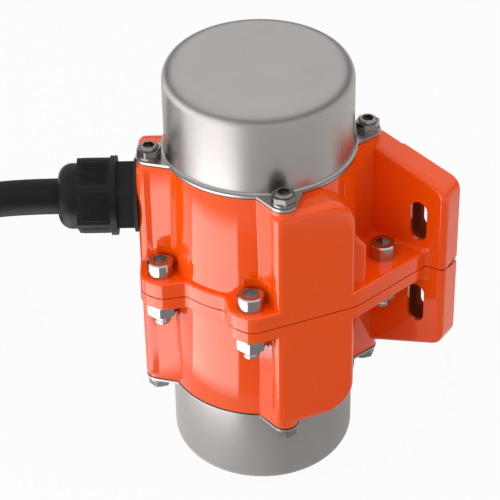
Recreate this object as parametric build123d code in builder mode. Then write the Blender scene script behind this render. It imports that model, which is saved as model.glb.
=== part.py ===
from build123d import *
from math import asin, atan2, cos, hypot, radians, sin, sqrt, tan
import os

# Vibration motor, in millimetres.
# Z runs up the motor's shaft and the origin is the centre of the lower cap's flat end.
# X runs along the width of the foot, and the foot's bolted face looks along +Y.
# Heights called "height" are counted from the parting plane, upwards in the upper half
# and downwards in the lower half, because the two castings are alike.

os.makedirs("parts", exist_ok=True)

# Stack along the shaft
CAP_HEIGHT = 36.0
CAP_GASKET = 0.5
HOUSING_HALF = 48.75
PARTING_GASKET = 0.5
SEAM = PARTING_GASKET / 2
END_FACE = SEAM + HOUSING_HALF
CAP_SEAT = END_FACE + CAP_GASKET
PARTING_Z = CAP_SEAT + CAP_HEIGHT

# End caps, drawn from sheet
CAP_RADIUS = 35.0
CAP_SHEET = 1.0
CAP_END_RADIUS = 7.5
CAP_LIP = 1.2
CAP_LIP_FILLET = 0.8

# Ears that carry the cap screws
EAR_COUNT = 4
EAR_START = 45.0
EAR_PITCH_RADIUS = 41.0
EAR_TIP_RADIUS = 4.8
EAR_ROOT_RADIUS = 33.5
EAR_ROOT_HALF_WIDTH = 9.2

# Barrel of the castings
BARREL_END_RADIUS = 36.0
DRAFT = 1.2
BARREL_BASE_RADIUS = BARREL_END_RADIUS + HOUSING_HALF * tan(radians(DRAFT))

# Flat-faced boxes on the barrel, mirrored left and right; the left one carries the cable gland
BOX_ANGLE = -33.8
BOX_DISTANCE = 45.2
BOX_ROOT = 27.0
BOX_FRONT_EDGE = -13.0
BOX_REAR_EDGE = 18.9
BOX_TOP_DROP = 1.0
BOX_TOP = END_FACE - BOX_TOP_DROP
BOX_ARCH_RADIUS = 12.5
BOX_CORNER_RADIUS = 2.0
BOX_RIM_FILLET = 3.0
BUTTRESS_DISTANCE = 41.5
BUTTRESS_EDGE = 24.6
BUTTRESS_HEIGHT = 23.0
BUTTRESS_SHOULDER = 30.0
BUTTRESS_FILLET = 1.5

# Parting flange
UPPER_FLANGE = 6.4
LOWER_FLANGE = 5.0
FLANGE_RADIUS = 38.3
FLANGE_EAR_Y = -37.4
FLANGE_EAR_RADIUS = 7.0
FLANGE_EAR_FRONT = FLANGE_EAR_Y - FLANGE_EAR_RADIUS
FLANGE_EAR_INSET = 4.67
FLANGE_EAR_CORNER_X = (BOX_DISTANCE - sin(radians(BOX_ANGLE)) * FLANGE_EAR_FRONT) / cos(radians(BOX_ANGLE))
FLANGE_EAR_X = FLANGE_EAR_CORNER_X - FLANGE_EAR_INSET
FLANGE_EAR_FLANK = 4.4
FLANGE_NECK_FILLET = 3.0
FLANGE_BOX_FILLET = 6.0
FLANGE_RIM_FILLET = 0.8
REAR_SCREW_X = 44.0
REAR_SCREW_Y = 16.0
FLANGE_HOLE_RADIUS = 3.3
SPOT_FACE_RADIUS = 6.6
SPOT_FACE_HEIGHT = 8.0

# Foot
FOOT_INNER_Y = 26.7
FOOT_THICKNESS = 11.0
FOOT_HALF_WIDTH = 64.4
FOOT_END_HEIGHT = 35.0
FOOT_TOP_HALF_WIDTH = 30.0
FOOT_TOP_DROP = 2.25
FOOT_TOP_HEIGHT = HOUSING_HALF - FOOT_TOP_DROP
FOOT_CORNER_RADIUS = 6.0
FOOT_RIM_FILLET = 2.4
FOOT_BACK_FILLET = 0.9
FOOT_RELIEF_HALF_WIDTH = 40.0
FOOT_RELIEF_DEPTH = 1.2
GUSSET_END_X = 57.1
FOOT_GUSSET_FILLET = 2.0
FOOT_GAP_LENGTH = 5.0
FOOT_GAP_DEPTH = 9.0
FOOT_GAP_HEIGHT = 1.3
SLOT_X = 53.0
SLOT_HEIGHT = 18.8
SLOT_LENGTH = 17.0
SLOT_WIDTH = 7.0
FOOT_FACE_Y = FOOT_INNER_Y + FOOT_THICKNESS

# Bearings and their seats
BEARING_RADIUS = 17.5
BEARING_BORE_RADIUS = 7.5
BEARING_WIDTH = 11.0
BEARING_PITCH_RADIUS = (BEARING_RADIUS + BEARING_BORE_RADIUS) / 2
BALL_COUNT = 8
BALL_RADIUS = 2.98
RACE_GROOVE_RADIUS = 3.06
RACE_THICKNESS = 2.9
BALL_POCKET_RADIUS = 3.12
BALL_CAGE_WALL = 1.6
BALL_CAGE_HALF_WIDTH = 4.2
SEAT_RIM = 1.1
CIRCLIP_THICKNESS = 1.5
CIRCLIP_GROOVE_DEPTH = 1.0
CIRCLIP_WIDTH = 3.0
CIRCLIP_GAP = 7.0
SEAT_SHOULDER = 2.4
SEAT_HOLE_RADIUS = 14.5
BEARING_OUTER_FACE = END_FACE - SEAT_RIM - CIRCLIP_THICKNESS
BEARING_INNER_FACE = BEARING_OUTER_FACE - BEARING_WIDTH
END_WALL_FACE = BEARING_INNER_FACE - SEAT_SHOULDER

# Stator and rotor
STATOR_RADIUS = 32.0
WINDING_OVERHANG = 8.4
WINDING_END_ROOM = 1.6
STATOR_HALF_LENGTH = END_WALL_FACE - WINDING_END_ROOM - WINDING_OVERHANG
WINDING_ROOM_RADIUS = 30.5
AIR_GAP = 0.4
ROTOR_RADIUS = 18.5
STATOR_BORE_RADIUS = ROTOR_RADIUS + AIR_GAP
STATOR_SLOTS = 12
STATOR_SLOT_WIDTH = 5.4
STATOR_SLOT_DEPTH = 6.5
STATOR_SLOT_RADIUS = 24.8
STATOR_SLOT_MOUTH = 2.0
WINDING_INNER_RADIUS = 20.6
WINDING_OUTER_RADIUS = 29.2
WINDING_FILLET = 2.5
ROTOR_BARS = 12
ROTOR_BAR_RADIUS = 1.7
ROTOR_BAR_CIRCLE = 15.6
END_RING_INNER_RADIUS = 12.6
END_RING_OUTER_RADIUS = 18.0
END_RING_THICKNESS = 4.0

# Shaft and what sits on its ends
SHAFT_RADIUS = 9.0
SHAFT_END_RADIUS = 7.0
SHAFT_NOSE = 2.9
SHAFT_CHAMFER = 0.8
SLEEVE_RADIUS = 10.2
SLEEVE_LENGTH = 6.4
WEIGHT_THICKNESS = 11.0
WEIGHT_RADIUS = 30.5
WEIGHT_HUB_RADIUS = 12.0
WEIGHT_CORNER_FILLET = 2.5
WEIGHT_RUNNING_GAP = 0.1
WEIGHT_BORE_CLEARANCE = 0.03
SPACER_THICKNESS = 1.0
SPACER_RADIUS = 11.0
SHAFT_CLIP_THICKNESS = 1.1
SHAFT_CLIP_GROOVE = 0.7
SHAFT_CLIP_RADIUS = 9.6
SHAFT_CLIP_GAP = 5.0
KEY_WIDTH = 5.0
KEY_LENGTH = 9.0
KEY_SHAFT_DEPTH = 2.6
KEY_HUB_DEPTH = 2.0
CLAMP_LUG_HALF_WIDTH = 7.5
CLAMP_LUG_REACH = 19.5
CLAMP_SLIT = 1.6
CLAMP_SCREW_Y = 14.0
CLAMP_SCREW_LENGTH = 13.0

FIXED_WEIGHT_FACE = BEARING_OUTER_FACE + SLEEVE_LENGTH
SPACER_FACE = FIXED_WEIGHT_FACE + WEIGHT_THICKNESS
LOOSE_WEIGHT_FACE = SPACER_FACE + SPACER_THICKNESS + WEIGHT_RUNNING_GAP
SHAFT_CLIP_FACE = LOOSE_WEIGHT_FACE + WEIGHT_THICKNESS + WEIGHT_RUNNING_GAP
SHAFT_HALF_LENGTH = SHAFT_CLIP_FACE + SHAFT_CLIP_THICKNESS + SHAFT_NOSE

# Screws: thread radius, head radius, head height, socket width across flats, socket depth, top chamfer
M4_SCREW = (2.0, 3.5, 4.0, 3.0, 2.0, 0.4)
M5_LOW_SCREW = (2.5, 4.25, 3.5, 4.0, 2.2, 0.6)
M6_SCREW = (3.0, 5.0, 6.0, 5.0, 3.2, 0.5)
CAP_SCREW_LENGTH = 12.0
CAP_SCREW_FLATS = 8.0
CAP_SCREW_CORNER_RADIUS = 4.45
CAP_SCREW_HEX_HEIGHT = 2.4
CAP_SCREW_CROWN_RADIUS = 3.5
CAP_SCREW_HOLE_RADIUS = 2.75
CAP_SCREW_HOLE_SPARE = 0.5
SPRING_WASHER_RADIUS = 4.5
SPRING_WASHER_BORE = 2.6
SPRING_WASHER_HEIGHT = 1.2
SPRING_WASHER_GAP = 0.9
FLANGE_SCREW_LENGTH = 22.0
FLANGE_WASHER_RADIUS = 6.0
FLANGE_WASHER_HEIGHT = 1.2
NUT_ACROSS_FLATS = 10.0
NUT_HEIGHT = 5.0
NUT_CHAMFER_RADIUS = 4.7

# Cable gland, along its own axis, counted outwards from the motor's axis
GLAND_ANGLE = 180.0 - BOX_ANGLE
GLAND_HEIGHT = 28.2
GLAND_WASHER = 1.4
GLAND_WASHER_RADIUS = 13.8
GLAND_STUB_RADIUS = 11.0
GLAND_STUB_LENGTH = 11.0
GLAND_BODY_LENGTH = 6.4
GLAND_BODY_ACROSS_FLATS = 24.7
GLAND_BODY_TURN = 35.0
GLAND_SLEEVE_LENGTH = 10.5
GLAND_BORE_RADIUS = 8.6
GLAND_COLLAR_LENGTH = 2.4
GLAND_COLLAR_RADIUS = 14.9
GLAND_NUT_LENGTH = 12.2
GLAND_NUT_ACROSS_FLATS = 26.4
GLAND_NUT_CORNER_RADIUS = 14.7
GLAND_NUT_TURN = 42.0
GLAND_DOME_LENGTH = 7.4
GLAND_DOME_RADIUS = 12.3
GLAND_MOUTH_RADIUS = 7.0
GLAND_INSERT_LENGTH = 17.0

GLAND_BODY_START = BOX_DISTANCE + GLAND_WASHER
GLAND_NUT_START = GLAND_BODY_START + GLAND_BODY_LENGTH
GLAND_DOME_START = GLAND_NUT_START + GLAND_COLLAR_LENGTH + GLAND_NUT_LENGTH
GLAND_END = GLAND_DOME_START + GLAND_DOME_LENGTH

# Supply lead
CABLE_RADIUS = 6.7
CABLE_START = 38.0
CORE_RADIUS = 1.5
CORE_SPREAD = 3.2
CORE_END_LENGTH = 34.0
CORE_END_PITCH = 3.6
CORE_END_TURN = 35.0
CORE_END_ROOT = 10.0
FERRULE_RADIUS = 1.7
FERRULE_LENGTH = 9.0
COIL_RADIUS = 67.0
COIL_SLACK = 0.3
COIL_TURNS = 3
COIL_TURN_PITCH = 13.6
COIL_HEIGHT = COIL_TURNS * COIL_TURN_PITCH
COIL_OUT = 192.0
COIL_BACK = 85.0
COIL_END_TURN = -57.0
LEAD_DROP_OUT = 122.0
LEAD_REACH_SPARE = 3.4


def save(piece, name):
    """Label a finished piece and write it as one STEP file."""
    piece.label = name
    export_step(piece, f"parts/{name}.step")


def level(side, height):
    """Absolute Z of a height counted from the parting plane."""
    return PARTING_Z + side * height


def seat(side, height):
    """Plane across the shaft that looks outwards; X is turned over in the lower half so that Y stays."""
    return Plane((0, 0, level(side, height)), x_dir=(side, 0, 0), z_dir=(0, 0, side))


def box_plane(side, distance):
    """Plane parallel to the right box's flat face; its Y runs away from the parting plane."""
    normal = Vector(cos(radians(BOX_ANGLE)), sin(radians(BOX_ANGLE)), 0)
    along = Vector(-normal.Y, normal.X, 0)
    origin = normal * distance + Vector(0, 0, level(side, SEAM))
    return Plane(origin, x_dir=along * side, z_dir=normal)


def foot_plane(side, y):
    """Plane parallel to the foot's bolted face; its Y runs away from the parting plane."""
    return Plane((0, y, level(side, SEAM)), x_dir=(-side, 0, 0), z_dir=(0, 1, 0))


def gland_plane(distance):
    """Plane across the gland's axis, looking outwards, with its Y pointing up."""
    out = Vector(cos(radians(GLAND_ANGLE)), sin(radians(GLAND_ANGLE)), 0)
    across = Vector(-out.Y, out.X, 0)
    origin = out * distance + Vector(0, 0, PARTING_Z + GLAND_HEIGHT)
    return Plane(origin, x_dir=across, z_dir=out)


def off_parting(edges):
    """Edges that don't lie in a parting face."""
    return [edge for edge in edges if abs(edge.center().Z - PARTING_Z) > 2 * PARTING_GASKET]


# Outlines shared by several pieces

def ear_outline(tip_radius):
    """One tapered ear with a rounded tip, along +X."""
    with BuildSketch() as ear:
        with Locations((EAR_PITCH_RADIUS, 0)):
            Circle(tip_radius)
        with Locations((EAR_ROOT_RADIUS, 0)):
            Rectangle(1, 2 * EAR_ROOT_HALF_WIDTH)
        make_hull()
    return ear.sketch


def eared_ring(radius, tip_radius, inner_radius):
    """Round flange with four ears and their screw holes."""
    with BuildSketch() as ring:
        Circle(radius)
        with PolarLocations(0, EAR_COUNT, start_angle=EAR_START):
            add(ear_outline(tip_radius))
        with PolarLocations(EAR_PITCH_RADIUS, EAR_COUNT, start_angle=EAR_START):
            Circle(CAP_SCREW_HOLE_RADIUS, mode=Mode.SUBTRACT)
        Circle(inner_radius, mode=Mode.SUBTRACT)
    return ring.sketch


def flange_outline():
    """Parting flange seen along the shaft: a ring, two front ears, the boxes' feet and the gussets to the foot."""
    normal = Vector(cos(radians(BOX_ANGLE)), sin(radians(BOX_ANGLE)), 0)
    along = Vector(-normal.Y, normal.X, 0)
    front = FLANGE_EAR_FRONT
    flank = FLANGE_EAR_X - FLANGE_EAR_FLANK
    neck = (flank - (FLANGE_EAR_FLANK + FLANGE_EAR_RADIUS), front + FLANGE_EAR_FLANK + FLANGE_EAR_RADIUS)
    ear_corner = (FLANGE_EAR_CORNER_X, front)
    box_corner = normal * BOX_DISTANCE + along * BOX_REAR_EDGE
    gusset_end = (GUSSET_END_X, FOOT_INNER_Y + FLANGE_RIM_FILLET)
    with BuildSketch() as outline:
        with BuildLine():
            edge = FilletPolyline(
                neck,
                (flank, front),
                ear_corner,
                (box_corner.X, box_corner.Y),
                gusset_end,
                radius=[FLANGE_EAR_RADIUS, FLANGE_EAR_RADIUS, FLANGE_BOX_FILLET],
            )
            Polyline(edge @ 1, (0, gusset_end[1]), (0, neck[1]), edge @ 0)
        make_face()
        mirror(about=Plane.YZ)
        Circle(FLANGE_RADIUS)
        with Locations((0, gusset_end[1] + FLANGE_RADIUS)):
            Rectangle(4 * FLANGE_RADIUS, 2 * FLANGE_RADIUS, mode=Mode.SUBTRACT)
        necks = outline.vertices().filter_by(
            lambda v: abs(hypot(v.X, v.Y) - FLANGE_RADIUS) < 0.01 and v.Y < -FLANGE_RADIUS / 2
        )
        fillet(necks, FLANGE_NECK_FILLET)
    return outline.sketch


def flange_screw_places():
    """The four flange screws, seen along the shaft."""
    return [
        (FLANGE_EAR_X, FLANGE_EAR_Y),
        (-FLANGE_EAR_X, FLANGE_EAR_Y),
        (REAR_SCREW_X, REAR_SCREW_Y),
        (-REAR_SCREW_X, REAR_SCREW_Y),
    ]


# Castings

def flange_plate(side, thickness):
    with BuildPart() as plate:
        with BuildSketch(seat(side, SEAM)):
            add(flange_outline())
        extrude(amount=thickness)
        top = plate.faces().sort_by(Axis.Z)[-1 if side > 0 else 0]
        fillet(top.edges(), FLANGE_RIM_FILLET)
    return plate.part


def box_block(side):
    """Arched box with a flat face."""
    outwards = Axis((0, 0, 0), box_plane(side, 0).z_dir)
    with BuildPart() as block:
        with BuildSketch(box_plane(side, BOX_DISTANCE)):
            with Locations((side * (BOX_FRONT_EDGE + BOX_REAR_EDGE) / 2, (BOX_TOP - SEAM) / 2)):
                Rectangle(BOX_REAR_EDGE - BOX_FRONT_EDGE, BOX_TOP - SEAM)
        extrude(amount=BOX_ROOT - BOX_DISTANCE)
        for corner, radius in ((-1, BOX_ARCH_RADIUS), (0, BOX_CORNER_RADIUS)):
            edges = off_parting(block.edges().filter_by(outwards).sort_by(Axis.X))
            fillet(edges[corner], radius)
        outer = block.faces().sort_by(outwards)[-1]
        fillet(off_parting(outer.edges()), BOX_RIM_FILLET)
    return block.part


def box_buttress():
    """Thick root behind the upper box, with a sloping shoulder."""
    with BuildPart() as buttress:
        with BuildSketch(box_plane(1, BUTTRESS_DISTANCE)):
            with BuildLine():
                Polyline(
                    (BOX_REAR_EDGE - BOX_RIM_FILLET, 0),
                    (BUTTRESS_EDGE, 0),
                    (BUTTRESS_EDGE, BUTTRESS_HEIGHT),
                    (BOX_REAR_EDGE, BUTTRESS_SHOULDER),
                    (BOX_REAR_EDGE - BOX_RIM_FILLET, BUTTRESS_SHOULDER),
                    close=True,
                )
            make_face()
        extrude(amount=BOX_ROOT - BUTTRESS_DISTANCE)
        outer = buttress.faces().sort_by(Axis((0, 0, 0), box_plane(1, 0).z_dir))[-1]
        rims = [edge for edge in off_parting(outer.edges()) if edge.center().X > outer.center().X]
        fillet(rims, BUTTRESS_FILLET)
    return buttress.part


def foot_plate(side):
    """One half of the foot, with its two slots."""
    with BuildPart() as plate:
        with BuildSketch(foot_plane(side, FOOT_INNER_Y)) as face:
            with BuildLine():
                Polyline(
                    (-FOOT_HALF_WIDTH, 0),
                    (FOOT_HALF_WIDTH, 0),
                    (FOOT_HALF_WIDTH, FOOT_END_HEIGHT),
                    (FOOT_TOP_HALF_WIDTH, FOOT_TOP_HEIGHT),
                    (-FOOT_TOP_HALF_WIDTH, FOOT_TOP_HEIGHT),
                    (-FOOT_HALF_WIDTH, FOOT_END_HEIGHT),
                    close=True,
                )
            make_face()
            ends = face.vertices().filter_by(lambda v: abs(v.Y - FOOT_END_HEIGHT) < 0.01)
            fillet(ends, FOOT_CORNER_RADIUS)
        extrude(amount=FOOT_THICKNESS)
        inner = plate.faces().sort_by(Axis.Y)[0]
        fillet(off_parting(inner.edges()), FOOT_RIM_FILLET)
        outer = plate.faces().sort_by(Axis.Y)[-1]
        fillet(off_parting(outer.edges()), FOOT_BACK_FILLET)
        with BuildSketch(foot_plane(side, FOOT_INNER_Y)):
            with Locations((SLOT_X, SLOT_HEIGHT - SEAM), (-SLOT_X, SLOT_HEIGHT - SEAM)):
                SlotOverall(SLOT_LENGTH, SLOT_WIDTH, rotation=90)
        extrude(amount=FOOT_THICKNESS, mode=Mode.SUBTRACT)
    return plate.part


def cast_half(side, flange_thickness):
    """One casting: barrel, ear columns, boxes, flange, foot, and the seats turned inside it."""
    box = box_block(side)
    with BuildPart() as casting:
        with BuildSketch(seat(side, SEAM)):
            Circle(BARREL_BASE_RADIUS)
        extrude(amount=HOUSING_HALF, taper=DRAFT)
        with BuildSketch(seat(side, SEAM)):
            with PolarLocations(0, EAR_COUNT, start_angle=EAR_START):
                add(ear_outline(EAR_TIP_RADIUS))
        extrude(amount=HOUSING_HALF)
        add(box)
        add(box.mirror(Plane.YZ))
        if side > 0:
            buttress = box_buttress()
            add(buttress)
            add(buttress.mirror(Plane.YZ))
        # Room for the heads and nuts beside the barrel
        with BuildSketch(seat(side, SEAM + flange_thickness)):
            with Locations(*flange_screw_places()):
                Circle(SPOT_FACE_RADIUS)
        extrude(amount=SPOT_FACE_HEIGHT, mode=Mode.SUBTRACT)
        add(flange_plate(side, flange_thickness))
        add(foot_plate(side))
        corners = casting.edges().filter_by(Axis.X).filter_by(
            lambda e: abs(e.center().Y - FOOT_INNER_Y) < 0.01
            and abs(e.center().Z - level(side, SEAM + flange_thickness)) < 0.01
        )
        fillet(corners, FOOT_GUSSET_FILLET)
        # The parting gap opens towards the outer ends of the bolted face
        for end in (1, -1):
            with BuildSketch(Plane.YZ.offset(end * FOOT_HALF_WIDTH)):
                with BuildLine():
                    Polyline(
                        (FOOT_FACE_Y, level(side, SEAM)),
                        (FOOT_FACE_Y, level(side, SEAM + FOOT_GAP_HEIGHT)),
                        (FOOT_FACE_Y - FOOT_GAP_DEPTH, level(side, SEAM)),
                        close=True,
                    )
                make_face()
            extrude(amount=-end * FOOT_GAP_LENGTH, mode=Mode.SUBTRACT)
        # Relief between the two bolted strips of the foot
        with BuildSketch(foot_plane(side, FOOT_FACE_Y)):
            Rectangle(2 * FOOT_RELIEF_HALF_WIDTH, 3 * HOUSING_HALF)
        extrude(amount=-FOOT_RELIEF_DEPTH, mode=Mode.SUBTRACT)
        # Stator seat, winding room, shaft opening, bearing seat and circlip groove
        with BuildSketch(Plane.XZ):
            with BuildLine():
                Polyline(
                    (0, level(side, 0)),
                    (STATOR_RADIUS, level(side, 0)),
                    (STATOR_RADIUS, level(side, STATOR_HALF_LENGTH)),
                    (WINDING_ROOM_RADIUS, level(side, STATOR_HALF_LENGTH)),
                    (WINDING_ROOM_RADIUS, level(side, END_WALL_FACE)),
                    (SEAT_HOLE_RADIUS, level(side, END_WALL_FACE)),
                    (SEAT_HOLE_RADIUS, level(side, BEARING_INNER_FACE)),
                    (BEARING_RADIUS, level(side, BEARING_INNER_FACE)),
                    (BEARING_RADIUS, level(side, BEARING_OUTER_FACE)),
                    (BEARING_RADIUS + CIRCLIP_GROOVE_DEPTH, level(side, BEARING_OUTER_FACE)),
                    (BEARING_RADIUS + CIRCLIP_GROOVE_DEPTH, level(side, END_FACE - SEAT_RIM)),
                    (BEARING_RADIUS, level(side, END_FACE - SEAT_RIM)),
                    (BEARING_RADIUS, level(side, END_FACE + 1)),
                    (0, level(side, END_FACE + 1)),
                    close=True,
                )
            make_face()
        revolve(axis=Axis.Z, mode=Mode.SUBTRACT)
        # Threaded holes for the cap screws
        with BuildSketch(seat(side, END_FACE)):
            with PolarLocations(EAR_PITCH_RADIUS, EAR_COUNT, start_angle=EAR_START):
                Circle(M5_LOW_SCREW[0])
        extrude(amount=-CAP_SCREW_HOLE_DEPTH, mode=Mode.SUBTRACT)
        with BuildSketch(seat(side, SEAM)):
            with Locations(*flange_screw_places()):
                Circle(FLANGE_HOLE_RADIUS)
        extrude(amount=flange_thickness, mode=Mode.SUBTRACT)
        if side > 0:
            with BuildSketch(gland_plane(BOX_DISTANCE)):
                Circle(GLAND_STUB_RADIUS)
            extrude(amount=WINDING_OUTER_RADIUS - BOX_DISTANCE, mode=Mode.SUBTRACT)
    return casting.part


CAP_SCREW_HEAD_FACE = CAP_SEAT + CAP_SHEET + SPRING_WASHER_HEIGHT
CAP_SCREW_HOLE_DEPTH = CAP_SCREW_LENGTH + CAP_SCREW_HOLE_SPARE - (CAP_SCREW_HEAD_FACE - END_FACE)

upper_housing = cast_half(1, UPPER_FLANGE)
lower_housing = cast_half(-1, LOWER_FLANGE)
save(upper_housing, "upper_housing")
save(lower_housing, "lower_housing")

# Gaskets

with BuildPart() as parting_gasket:
    with BuildSketch(Plane.XY.offset(PARTING_Z - SEAM)) as seam_face:
        add(flange_outline())
        with Locations((0, FOOT_INNER_Y + FOOT_THICKNESS / 2)):
            Rectangle(2 * FOOT_HALF_WIDTH, FOOT_THICKNESS)
        offset(amount=-PARTING_GASKET, kind=Kind.INTERSECTION)
        Circle(STATOR_RADIUS, mode=Mode.SUBTRACT)
        with Locations(*flange_screw_places()):
            Circle(FLANGE_HOLE_RADIUS, mode=Mode.SUBTRACT)
        with Locations((0, FOOT_FACE_Y)):
            Rectangle(2 * FOOT_RELIEF_HALF_WIDTH, 2 * FOOT_RELIEF_DEPTH, mode=Mode.SUBTRACT)
    extrude(amount=PARTING_GASKET)
save(parting_gasket.part, "parting_gasket")


def cap_gasket(side):
    with BuildPart() as gasket:
        with BuildSketch(seat(side, END_FACE)):
            add(eared_ring(BARREL_END_RADIUS, EAR_TIP_RADIUS, WINDING_OUTER_RADIUS))
        extrude(amount=CAP_GASKET)
    return gasket.part


save(cap_gasket(1), "upper_cap_gasket")
save(cap_gasket(-1), "lower_cap_gasket")


# End caps

def end_cap(side):
    """Drawn cup with a rounded end, a narrow lip and four flat ears."""
    with BuildPart() as cap:
        with BuildSketch(seat(side, CAP_SEAT)):
            Circle(CAP_RADIUS)
        extrude(amount=CAP_HEIGHT)
        flat_end = cap.faces().sort_by(Axis.Z)[-1 if side > 0 else 0]
        fillet(flat_end.edges(), CAP_END_RADIUS)
        mouth = cap.faces().sort_by(Axis.Z)[0 if side > 0 else -1]
        offset(amount=-CAP_SHEET, openings=mouth)
        with BuildSketch(seat(side, CAP_SEAT)):
            add(eared_ring(CAP_RADIUS + CAP_LIP, EAR_TIP_RADIUS + CAP_LIP / 6, CAP_RADIUS - CAP_SHEET))
        extrude(amount=CAP_SHEET)
        root = cap.edges().filter_by(GeomType.CIRCLE).filter_by(
            lambda e: abs(e.radius - CAP_RADIUS) < 0.01
            and abs(e.center().Z - level(side, CAP_SEAT + CAP_SHEET)) < 0.01
        )
        fillet(root, CAP_LIP_FILLET)
    return cap.part


save(end_cap(1), "upper_end_cap")
save(end_cap(-1), "lower_end_cap")


# Fasteners

def socket_screw(size, length):
    """Socket head screw along -Z, with the underside of its head in the XY plane."""
    thread, head, head_height, flats, socket_depth, chamfer_size = size
    with BuildPart() as screw:
        with BuildSketch():
            Circle(head)
        extrude(amount=head_height)
        chamfer(screw.faces().sort_by(Axis.Z)[-1].edges(), chamfer_size)
        with BuildSketch():
            Circle(thread)
        extrude(amount=-length)
        with BuildSketch(Plane.XY.offset(head_height)):
            RegularPolygon(flats / 2, 6, major_radius=False)
        extrude(amount=-socket_depth, mode=Mode.SUBTRACT)
    return screw.part


def spring_washer():
    with BuildPart() as washer:
        with BuildSketch():
            Circle(SPRING_WASHER_RADIUS)
            Circle(SPRING_WASHER_BORE, mode=Mode.SUBTRACT)
            with Locations((SPRING_WASHER_RADIUS / 2, 0)):
                Rectangle(SPRING_WASHER_RADIUS, SPRING_WASHER_GAP, rotation=20, mode=Mode.SUBTRACT)
        extrude(amount=SPRING_WASHER_HEIGHT)
    return washer.part


def around_caps(piece, side, height):
    """Copies of a piece on the four ears."""
    with BuildPart() as group:
        with Locations(seat(side, height)):
            with PolarLocations(EAR_PITCH_RADIUS, EAR_COUNT, start_angle=EAR_START):
                add(piece)
    return group.part


# Cap screw: low hexagon under a round crown with a socket
with BuildPart() as cap_screw:
    add(socket_screw((M5_LOW_SCREW[0], CAP_SCREW_CROWN_RADIUS, *M5_LOW_SCREW[2:]), CAP_SCREW_LENGTH))
    with BuildSketch():
        RegularPolygon(CAP_SCREW_FLATS / 2, 6, major_radius=False)
        Circle(CAP_SCREW_CORNER_RADIUS, mode=Mode.INTERSECT)
        RegularPolygon(M5_LOW_SCREW[3] / 2, 6, major_radius=False, mode=Mode.SUBTRACT)
    extrude(amount=CAP_SCREW_HEX_HEIGHT)

with BuildPart() as cap_screws:
    for side in (1, -1):
        add(around_caps(cap_screw.part, side, CAP_SCREW_HEAD_FACE))
save(cap_screws.part, "cap_screws")

with BuildPart() as spring_washers:
    for side in (1, -1):
        add(around_caps(spring_washer(), side, CAP_SEAT + CAP_SHEET))
save(spring_washers.part, "spring_washers")

flange_screw = socket_screw(M6_SCREW, FLANGE_SCREW_LENGTH)
with BuildPart() as flange_screws:
    with Locations(seat(1, SEAM + UPPER_FLANGE)):
        with Locations(*flange_screw_places()):
            add(flange_screw)
save(flange_screws.part, "flange_screws")

with BuildPart() as nut:
    with BuildSketch():
        RegularPolygon(NUT_ACROSS_FLATS / 2, 6, major_radius=False, rotation=4)
        Circle(M6_SCREW[0], mode=Mode.SUBTRACT)
    extrude(amount=NUT_HEIGHT)
    with BuildSketch(Plane.XZ):
        with BuildLine():
            Polyline(
                (NUT_CHAMFER_RADIUS, NUT_HEIGHT),
                (NUT_ACROSS_FLATS, NUT_HEIGHT),
                (NUT_ACROSS_FLATS, NUT_HEIGHT - (NUT_ACROSS_FLATS - NUT_CHAMFER_RADIUS) / sqrt(3)),
                close=True,
            )
        make_face()
    revolve(axis=Axis.Z, mode=Mode.SUBTRACT)

with BuildPart() as flange_washers:
    with BuildSketch(seat(-1, SEAM + LOWER_FLANGE)):
        with Locations(*flange_screw_places()):
            Circle(FLANGE_WASHER_RADIUS)
            Circle(FLANGE_HOLE_RADIUS, mode=Mode.SUBTRACT)
    extrude(amount=FLANGE_WASHER_HEIGHT)
save(flange_washers.part, "flange_washers")

with BuildPart() as flange_nuts:
    with Locations(seat(-1, SEAM + LOWER_FLANGE + FLANGE_WASHER_HEIGHT)):
        with Locations(*flange_screw_places()):
            add(nut.part)
save(flange_nuts.part, "flange_nuts")

# Cable gland

with BuildPart() as gland_washer:
    with BuildSketch(gland_plane(BOX_DISTANCE)):
        Circle(GLAND_WASHER_RADIUS)
        Circle(GLAND_STUB_RADIUS, mode=Mode.SUBTRACT)
    extrude(amount=GLAND_WASHER)
save(gland_washer.part, "gland_washer")

with BuildPart() as gland_body:
    with BuildSketch(gland_plane(BOX_DISTANCE - GLAND_STUB_LENGTH)):
        Circle(GLAND_STUB_RADIUS)
    extrude(amount=GLAND_STUB_LENGTH + GLAND_WASHER + GLAND_BODY_LENGTH + GLAND_SLEEVE_LENGTH)
    with BuildSketch(gland_plane(GLAND_BODY_START)):
        RegularPolygon(GLAND_BODY_ACROSS_FLATS / 2, 6, major_radius=False, rotation=GLAND_BODY_TURN)
    extrude(amount=GLAND_BODY_LENGTH)
    with BuildSketch(gland_plane(BOX_DISTANCE - GLAND_STUB_LENGTH)):
        Circle(GLAND_BORE_RADIUS)
    extrude(amount=GLAND_END - BOX_DISTANCE, mode=Mode.SUBTRACT)
save(gland_body.part, "gland_body")

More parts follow.
